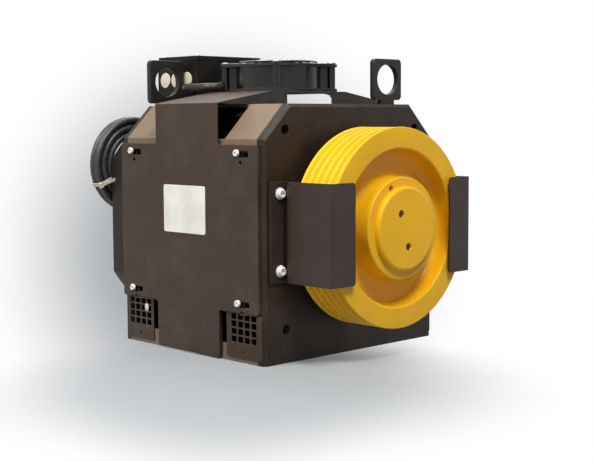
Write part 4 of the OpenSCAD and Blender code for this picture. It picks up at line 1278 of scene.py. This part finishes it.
@dataclass
class SideCover:
    """A folded side cover with keyhole slots and turned-in edges."""

    side: Side
    proud: float = 0.006
    sheet: float = 0.002
    inset: float = 5.0
    low: float = 64.5
    top: float = 278.5
    tab: Flat = (81.0, 210.5)
    right_wing: float = 125.0
    tab_top: float = 330.0
    foot: float = 2.0
    corner: float = 0.003
    slack: float = 0.0004
    screw_y: Flat = (43.0, 266.0)
    screw_z: Flat = (77.0, 268.0)
    slot: tuple[float, float, float, float] = (-0.021, -0.0055, -0.002, 0.0025)
    slot_corner: float = 0.0015
    drain: Point = (-0.006, -0.012, 0.0025)  # from the screw, and its radius

    def lift(self, u: float, v: float, w: float) -> Point:
        """From (place behind the front plate, height, distance outwards) to the shared frame."""
        return (self.side.value * (CASING_HALF + w), SHIFT_Y + u, v)

    def marks(self) -> tuple[float, ...]:
        """Turns the sheet's marks into metres.

        Returns:
            Front, rear, tab's front, tab's rear, tab's wing, foot, low and top.
        """
        wing = self.right_wing if self.side is Side.RIGHT else self.tab[1]
        return tuple(v * MM for v in (self.inset, CASING_LENGTH - self.inset, *self.tab, wing,
                                      self.foot, self.low, self.top))

    def outline(self) -> list[Flat]:
        """Draws the sheet with its foot tab, wings and rounded corners.

        Returns:
            The outer contour.
        """
        y0, y1, t0, t1, wing, foot, low, top = self.marks()
        r, peak = self.corner, self.tab_top * MM
        return (arc(t1 - r, foot + r, r, 270, 360, 3) + arc(t1 + r, low - r, r, 180, 90, 3)
                + arc(y1 - r, low + r, r, 270, 360, 3) + arc(y1 - r, top - r, r, 0, 90, 3)
                + arc(wing + r, top + r, r, 270, 180, 3) + [(wing, peak), (t0, peak)]
                + arc(t0 - r, top + r, r, 0, -90, 3) + arc(y0 + r, top - r, r, 90, 180, 3)
                + arc(y0 + r, low + r, r, 180, 270, 3) + arc(t0 - r, low - r, r, 90, 0, 3)
                + arc(t0 + r, foot + r, r, 180, 270, 3))

    def screw_places(self) -> list[Flat]:
        """Place behind the front plate and height of the four screws."""
        return [(y * MM, z * MM) for y in self.screw_y for z in self.screw_z]

    def build(self) -> None:
        """Makes the sheet with its slots, drain holes and turned-in edges."""
        name = self.side.named("cover")
        solid = Solid(name)
        holes = []
        u0, v0, u1, v1 = self.slot
        du, dv, radius = self.drain
        for u, v in self.screw_places():
            holes.append(rounded_box(u + u0, v + v0, u + u1, v + v1, self.slot_corner, 3))
            holes.append(circle(u + du, v + dv, radius, 20))
        inner = self.proud - self.sheet
        solid.plate(self.outline(), holes, inner, self.proud, 0.0007, self.lift)
        y0, y1, t0, t1, wing, foot, low, top = self.marks()
        s, e, r = self.sheet, self.slack, self.corner
        for u0, u1, v0, v1 in ((y0 + e, y0 + s, low + r, top - r),
                               (y1 - s, y1 - e, low + r, top - r),
                               (t0 + e, t0 + s, foot + r, low), (t1 - s, t1 - e, foot + r, low),
                               (y0 + r, t0 - r, top - s, top - e),
                               (wing + r, y1 - r, top - s, top - e)):
            solid.slab([(u0, v0), (u1, v0), (u1, v1), (u0, v1)], 0.0002, inner + e, self.lift)
        solid.finish(Coat.COVER, self.side.named("side_cover"), smooth=30.0)

    def screws(self) -> bpy.types.Object:
        """Makes the four socket screws of this side.

        Returns:
            One object with all of them.
        """
        places = [self.lift(u, v, self.proud) for u, v in self.screw_places()]
        return ScrewField(self.side.named("cover_screws"), places, (self.side.value, 0, 0),
                          0.0043, 0.0035, 0.0021).build(Coat.ZINC)


@dataclass
class CoverTrim:
    """Screws of both covers and the blank nameplate with its rivets."""

    edge: float = 0.0035

    def build(self) -> None:
        """Makes the trim."""
        settle(merge("cover_screw_set", *(SideCover(side).screws() for side in Side)),
               Coat.ZINC, "cover_screws")
        low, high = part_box("nameplate")
        solid = Solid("blank_nameplate")
        rivets = [(y, z) for y in (low.y + self.edge, high.y - self.edge)
                  for z in (low.z + self.edge, high.z - self.edge)]
        solid.plate(rounded_box(low.y, low.z, high.y, high.z, 0.003),
                    [circle(y, z, 0.0011, 16) for y, z in rivets], 0.0, high.x - low.x, 0.0003,
                    lambda u, v, w: (high.x - w, u, v), 1)
        dome = [(0.0, -0.0008), (0.0011, -0.0006), (0.0014, -0.0001), (0.0014, 0.0)]
        for y, z in rivets:
            solid.lathe(dome, (low.x + 0.0007, y, z), "X", 16)
        solid.finish(Coat.LABEL, "nameplate", smooth=30.0)


# ---------------------------------------------------------------- grilles


@dataclass
class VentGrille:
    """One perforated plate over a vent of the casing."""

    side: Side
    start: float
    end: float
    thick: float = 0.002
    low: float = 0.0055
    high: float = 0.0635
    cell: Flat = (0.0094, 0.0075)
    pitch: Flat = (0.0128, 0.0098)
    count: int = 4
    top_cell: float = 0.0628
    margin: float = 0.0012
    screw_rise: float = 0.0075
    screw_hole: float = 0.0022

    def build(self) -> bpy.types.Object:
        """Makes the plate with its grid of openings and its screw hole.

        Returns:
            The plate.
        """
        solid = Solid("grille")
        middle = (self.start + self.end) / 2 * MM
        wide, tall = (size / 2 for size in self.cell)
        holes = []
        for i in range(self.count):
            u = middle + (i - (self.count - 1) / 2) * self.pitch[0]
            for j in range(self.count):
                v = self.top_cell - tall - j * self.pitch[1]
                holes.append(rounded_box(u - wide, v - tall, u + wide,
                                         min(v + tall, self.high - self.margin), 0.0007, 2))
        holes.append(circle(middle, self.low + self.screw_rise, self.screw_hole, 16))
        outline = rounded_box(self.start * MM, self.low, self.end * MM, self.high, 0.0015, 3)
        solid.plate(outline, holes, 0.0, self.thick, 0.0004, SideCover(self.side).lift, 1)
        return solid.make(Coat.GRILLE, 30.0)


@dataclass
class GrilleSet:
    """The four grilles and the small oval plug in the rear left one."""

    spans: tuple[Flat, Flat] = ((3.6, 71.0), (226.0, 284.7))
    plug: Point = (-0.1632, along(240.5), 0.0505)
    plug_stretch: float = 1.45

    def build(self) -> None:
        """Makes the grilles and the plug."""
        plates = [VentGrille(side, *span).build() for side in Side for span in self.spans]
        settle(merge("vent_grille_set", *plates), Coat.GRILLE, "vent_grilles")
        plug = Solid("grille_plug")
        plug.lathe([(0.0, -0.002), (0.0026, -0.0018), (0.0038, -0.0009), (0.0042, 0.0),
                    (0.0, 0.0)], (0.0, 0.0, 0.0), "X", 32)
        plug.bm.transform(Matrix.Translation(self.plug)
                          @ Matrix.Diagonal((1.0, 1.0, self.plug_stretch, 1.0)))
        plug.finish(Coat.CREAM)


# ---------------------------------------------------------------- cooling fan


@dataclass
class CoolingFan:
    """The square axial fan: impeller with twisted blades, wire guard and screws."""

    centre: Flat = (-0.002, along(142.5))
    floor: float = 0.3485
    height: float = 0.038
    bore: float = 0.057
    hub: float = 0.031
    gap: float = 0.0015
    blades: int = 7
    stations: int = 9
    chords: int = 8
    blade_span: Flat = (0.007, 0.0345)  # above the fan's floor
    blade_middle: float = 0.02
    tilt: Flat = (48.0, -22.0)  # at the root, and its change out to the tip
    chord: Flat = (0.024, 0.009)  # likewise
    thickness: Flat = (0.00025, 0.0009)  # half of it at the edges, and what the middle adds
    camber: float = 0.0022
    pitch: float = 0.105
    wire: float = 0.0011
    wire_rings: tuple[float, ...] = (0.014, 0.024, 0.034, 0.044, 0.054)
    ring_rise: float = 0.0033
    leg_rise: float = 0.0013
    eye: float = 0.0052

    def blade(self, turn: float) -> list[tuple[list[Point], list[Point]]]:
        """Upper and lower rows of points of one blade, from the hub outwards.

        Args:
            turn: the blade's place round the hub.

        Returns:
            Both rows at each station.
        """
        x, y = self.centre
        low, high = (self.floor + end for end in self.blade_span)
        middle = self.floor + self.blade_middle
        root, tip = self.hub - 0.0015, self.bore - self.gap
        out = []
        for i in range(self.stations + 1):
            t = i / self.stations
            radius = root + (tip - root) * t
            tilt = math.radians(self.tilt[0] + self.tilt[1] * t)
            chord = self.chord[0] + self.chord[1] * t
            rows: tuple[list[Point], list[Point]] = ([], [])
            for k in range(self.chords + 1):
                s = k / self.chords - 0.5
                half = self.thickness[1] * (1.0 - 0.75 * abs(2 * s)) + self.thickness[0]
                for row, sign in zip(rows, (1, -1)):
                    across, up = s * chord, self.camber * (1 - 4 * s * s) + sign * half
                    a = turn + (across * math.cos(tilt) - up * math.sin(tilt)) / radius
                    z = middle + across * math.sin(tilt) + up * math.cos(tilt)
                    row.append((x + radius * math.cos(a), y + radius * math.sin(a),
                                max(low, min(high, z))))
            out.append(rows)
        return out

    def impeller(self) -> None:
        """Makes the hub and its twisted blades."""
        solid = Solid("impeller")
        r, z0, z1, foot = self.hub, self.floor + 0.007, self.floor + 0.035, self.floor + 0.004
        solid.lathe([(0.0, z1 - 0.0015), (0.008, z1 - 0.0012), (0.009, z1), (r - 0.003, z1),
                     (r - 0.0008, z1 - 0.0008), (r, z1 - 0.003), (r, z0), (0.0038, z0),
                     (0.0038, foot), (0.0, foot)], (*self.centre, 0.0), "Z", 72)
        for turn in spokes(self.blades):
            blade = self.blade(turn)
            solid.skin([upper + lower[::-1] for upper, lower in blade], shut=False)
            solid.skin([(upper[0], lower[0]) for upper, lower in blade], shut=False)
            solid.skin(blade[0], shut=False)
            solid.skin(blade[-1], shut=False)
        solid.finish(Coat.FAN_PLASTIC, "fan_impeller", body="fan_rotor")

    def guard(self) -> None:
        """Makes the wire rings and the four bent legs that end in eyes."""
        x, y = self.centre
        top = self.floor + self.height
        solid = Solid("finger_guard_wires")
        for r in self.wire_rings:
            solid.tube([(x + r * math.cos(a), y + r * math.sin(a), top + self.ring_rise)
                        for a in spokes(64)], self.wire, 10, True)
        reach, eye = self.pitch / math.sqrt(2), self.eye
        for a in (math.pi / 4 + turn for turn in spokes(4)):
            c, s = math.cos(a), math.sin(a)
            leg = [(x + r * c, y + r * s, top + self.leg_rise)
                   for r in (0.012, 0.05, reach - 0.0065)]
            loop = [(x + reach * c - eye * math.cos(a + t), y + reach * s - eye * math.sin(a + t),
                     top + 0.0012) for t in spokes(20)[:19]]
            solid.tube(leg + loop, self.wire, 8)
        solid.finish(Coat.WIRE, "finger_guard")

    def screws(self) -> None:
        """Makes the four long screws and their nuts."""
        top = self.floor + self.height
        places = [(self.centre[0] + i * self.pitch / 2, self.centre[1] + j * self.pitch / 2, top)
                  for i in (-1, 1) for j in (-1, 1)]
        heads = ScrewField("fan_screw_heads", places, (0, 0, 1), 0.0039, 0.003,
                           0.0018).build(Coat.ZINC)
        solid = Solid("fan_screw_shanks")
        for x, y, _ in places:
            solid.rod((x, y, 0.0), 0.002, self.floor - 0.008, top + 0.0005, "Z", 20)
            solid.rod((x, y, 0.0), 0.004, self.floor - 0.0052, self.floor - 0.0021, "Z", 6)
        settle(merge("fan_screw_set", heads, solid.make(Coat.ZINC)), Coat.ZINC, "fan_screws")

    def build(self) -> None:
        """Makes the fan's moving and wire pieces."""
        self.impeller()
        self.guard()
        self.screws()


# ---------------------------------------------------------------- guards, eyes, boxes


@dataclass
class RopeGuard:
    """One bent sheet beside the sheave, with rounded bends and lip corners."""

    side: Side
    inside: float = 0.1315
    sheet: float = 0.0025
    height: float = 0.1275
    middle: float = 0.1685
    foot: float = 0.121
    foot_width: float = 0.031
    slant_end: float = -0.0146
    lip: float = 0.043
    face: float = -88.5
    bend: float = 0.004
    bend_steps: int = 6
    corner: float = 0.005
    corner_steps: int = 7

    def line(self) -> list[Vector]:
        """Bends the sheet's centre line, as seen from above.

        Returns:
            Its points, from the flange to the lip.
        """
        t = self.sheet / 2
        y_face = self.face * MM - t
        raw = [Vector(p) for p in (
            (self.foot + self.foot_width, -t), (self.foot + t * 0.8, -t),
            (self.inside + t, self.slant_end), (self.inside + t, y_face),
            (self.inside + self.sheet - self.lip, y_face))]
        out = [raw[0]]
        for p, q, s in zip(raw, raw[1:], raw[2:]):
            reach = min(self.bend, (p - q).length * 0.45, (s - q).length * 0.45)
            a = q + (p - q).normalized() * reach
            b = q + (s - q).normalized() * reach
            for t in (i / self.bend_steps for i in range(self.bend_steps + 1)):
                out.append(a * (1 - t) ** 2 + q * 2 * t * (1 - t) + b * t * t)
        return out + [raw[-1]]

    def build(self) -> None:
        """Makes the guard."""
        line = self.line()
        normals = []
        for before, after in zip([line[0], *line], [*line[1:], line[-1]]):
            way = (after - before).normalized()
            normals.append(Vector((-way.y, way.x)))
        half, t, r = self.height / 2, self.sheet / 2, self.corner
        rows = [(p, n, half) for p, n in zip(line[:-1], normals)]
        last = (line[-1] - line[-2]).length
        for i in range(self.corner_steps + 1):
            left = r * (1 - i / self.corner_steps)
            share = 1 - left / last
            rows.append((line[-2].lerp(line[-1], share),
                         normals[-2].lerp(normals[-1], share).normalized(),
                         half - r + math.sqrt(r ** 2 - (r - left) ** 2)))
        solid = Solid(self.side.named("rope_guard") + "_sheet")
        solid.skin([[(self.side.value * (p.x + n.x * across), SHIFT_Y + p.y + n.y * across,
                      self.middle + up) for across, up in ((t, -h), (t, h), (-t, h), (-t, -h))]
                    for p, n, h in rows], caps=True)
        piece = soften(solid.make(Coat.GUARD, 30.0), 0.0004, 1, 60.0)
        settle(piece, Coat.GUARD, self.side.named("rope_guard"))


@dataclass
class FrameBolts:
    """Bolts of the rope guards and studs of the lifting eyes."""

    guard_bolts: Point = (0.1355, 0.1685, 0.049)
    eye_studs: tuple[Point, ...] = ((0.082, 0.003, 0.0199), (-0.096, 0.2741, 0.291))
    shank: float = 0.004

    def build(self) -> None:
        """Makes them."""
        x, middle, spread = self.guard_bolts
        places = [(s * x, along(-2.5), middle + k * spread) for s in (-1, 1) for k in (-1, 1)]
        heads = ScrewField("guard_bolt_heads", places, (0, -1, 0), 0.0058, 0.0055, 0.0035,
                           0.0076).build(Coat.ZINC)
        solid = Solid("studs")
        for bolt_x, _, z in places:
            solid.rod((bolt_x, SHIFT_Y, z), self.shank, -0.003, 0.012)
        for eye_x, start, end in self.eye_studs:
            for s in (-1, 1):
                solid.rod((eye_x + s * STUD_SPREAD, SHIFT_Y, STUD_Z), self.shank, start, end)
        settle(merge("frame_bolt_set", heads, solid.make(Coat.ZINC)), Coat.ZINC, "frame_bolts")


@dataclass
class LiftingEye:
    """A thick rounded square plate with a chamfered hole and a narrow neck."""

    name: str
    x: float
    start: float
    half: float = 0.028
    thick: float = 8.0
    hole: float = 0.0205
    neck: float = 0.0135
    corner: float = 0.006
    centre: float = 0.364
    foot: float = 0.311
    stud_hole: float = 0.00405

    def build(self) -> None:
        """Makes the eye."""
        h, r, n, x, z = self.half, self.corner, self.neck, self.x, self.centre
        outline = (arc(x + h - r, z + h - r, r, 0, 90, 6) + arc(x - h + r, z + h - r, r, 90, 180, 6)
                   + arc(x - h + r, z - h + r, r, 180, 270, 6) + [(x - n, z - h)]
                   + [(x - n, self.foot), (x + n, self.foot), (x + n, z - h)]
                   + arc(x + h - r, z - h + r, r, 270, 360, 6))
        holes = [circle(x, z, self.hole, 72)]
        holes += [circle(x + s * STUD_SPREAD, STUD_Z, self.stud_hole, 24) for s in (-1, 1)]
        solid = Solid(self.name + "_forging")
        solid.plate(outline, holes, along(self.start), along(self.start + self.thick), 0.0011,
                    lambda u, v, w: (u, w, v))
        solid.finish(Coat.EYE, self.name, smooth=32.0)


@dataclass
class TerminalBox:
    """Lid, cream plugs and screws of the box behind the fan, and the rear case's screws."""

    half: float = 0.062
    front: float = along(249.0)
    rear: float = along(340.0)
    lid: float = 0.394
    top: float = 0.402
    plug_z: float = 0.368
    plug_steps: tuple[float, ...] = (22.5, 47.5, 72.5)
    screw_inset: float = 0.008
    rear_face: float = along(364.0)
    rear_circle: float = 0.118
    rear_turns: tuple[float, ...] = (60, 180, 240, 300)

    def build(self) -> None:
        """Makes the box's visible pieces."""
        plugs = Solid("plug_set")
        dome = [(0.0, -0.002), (0.006, -0.0018), (0.0086, -0.0012), (0.0104, -0.0014),
                (0.011, -0.0008), (0.011, 0.0), (0.009, 0.0), (0.009, 0.003), (0.0, 0.003)]
        for step in self.plug_steps:
            plugs.lathe(dome, (-self.half, self.front + step * MM, self.plug_z), "X", 40)
        plugs.finish(Coat.CREAM, "terminal_plugs")
        lid = Solid("box_lid")
        lid.plate(rounded_box(-self.half, self.front, self.half, self.rear, 0.003), [],
                  self.lid, self.top, 0.0012, lambda u, v, w: (u, v, w))
        lid.finish(Coat.BOX, "terminal_lid", smooth=32.0)
        inset = self.screw_inset
        corners = [(i * (self.half - inset), y, self.top) for i in (-1, 1)
                   for y in (self.front + inset, self.rear - inset)]
        ring = [arc(0.0, AXIS_Z, self.rear_circle, a, a, 1)[0] for a in self.rear_turns]
        fields = (ScrewField("lid_screws", corners, (0, 0, 1), 0.0038, 0.0024, 0.0018),
                  ScrewField("rear_case_screws", [(x, self.rear_face, z) for x, z in ring],
                             (0, 1, 0), 0.0042, 0.003, 0.002))
        settle(merge("case_screw_set", *(field.build(Coat.ZINC) for field in fields)),
               Coat.ZINC, "case_screws")


@dataclass
class BrakeSprings:
    """The helical springs of the brake."""

    count: int = 6
    first: float = 15.0
    circle_r: float = 0.098
    start: float = 319.2
    depth: float = 20.0
    coil_r: float = 0.0046
    wire: float = 0.0009
    turns: int = 7
    steps: int = 14
    end_gap: float = 1.2  # wire radii left free at each end

    def build(self) -> None:
        """Makes the springs."""
        solid = Solid("brake_spring_set")
        total = self.turns * self.steps
        gap = self.wire * self.end_gap
        room = self.depth * MM - 2 * gap
        for i in range(self.count):
            turn = self.first + 360 * i / self.count
            x, z = arc(0.0, AXIS_Z, self.circle_r, turn, turn, 1)[0]
            path = []
            for k in range(total + 1):
                t = 2 * math.pi * k / self.steps
                path.append((x + self.coil_r * math.cos(t),
                             along(self.start) + gap + room * k / total,
                             z + self.coil_r * math.sin(t)))
            solid.tube(path, self.wire, 8)
        solid.finish(Coat.STEEL, "brake_springs")


@dataclass
class SoftCopy:
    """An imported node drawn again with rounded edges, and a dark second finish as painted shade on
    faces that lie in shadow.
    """

    node: str
    coat: Coat
    width: float
    segments: int = 2
    # painted shade: this dark finish goes on faces that face down, and on front faces ahead of the
    # given depth in mm, where the piece lies in shadow
    inside: Coat | None = None
    front: float = 0.0

    def build(self) -> None:
        """Makes the copy."""
        source = bpy.data.objects[self.node]
        solid = Solid(self.node + "_soft")
        solid.bm.from_mesh(source.data)
        solid.bm.transform(source.matrix_world)
        bmesh.ops.remove_doubles(solid.bm, verts=solid.bm.verts, dist=2e-6)
        bmesh.ops.dissolve_limit(solid.bm, angle_limit=math.radians(1.0),
                                 verts=solid.bm.verts, edges=solid.bm.edges)
        piece = soften(solid.make(self.coat, 32.0), self.width, self.segments)
        # painted shade: faces under the piece, or facing forward in front of its depth, take the
        # dark finish
        if self.inside:
            piece.data.materials.append(material_of(self.inside))
            for face in piece.data.polygons:
                under = face.normal.z < -0.3
                ahead = face.normal.y < -0.8 and face.center.y < along(self.front + 0.5)
                face.material_index = int(under or ahead)
        settle(piece, self.coat, self.node)


def main() -> None:
    """Builds every sub-assembly in order."""
    logging.basicConfig(level=logging.INFO, format="%(name)s: %(message)s")
    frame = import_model()
    Studio().build()
    EncoderCable().build()
    dress_nodes(frame)
    parts = (TractionSheave(), *(SideCover(side) for side in Side), CoverTrim(), GrilleSet(),
             CoolingFan(), *(RopeGuard(side) for side in Side), FrameBolts(),
             LiftingEye("lifting_eye_front", 0.082, 12.0),
             LiftingEye("lifting_eye_rear", -0.096, 274.0, 0.0305), TerminalBox(), BrakeSprings(),
             # painted shade: the hood's shadowed faces take the brake black finish
             SoftCopy("fan_hood", Coat.HOOD, 0.0005, 1, Coat.BRAKE_BLACK, 81.0),
             SoftCopy("fan_frame", Coat.FAN_BLACK, 0.0005),
             SoftCopy("terminal_box", Coat.BOX, 0.0012),
             SoftCopy("brake_cover", Coat.REAR_CASE, 0.0016),
             SoftCopy("encoder_cover", Coat.ENCODER, 0.0012))
    for part in parts:
        part.build()


if __name__ == "__main__":
    main()
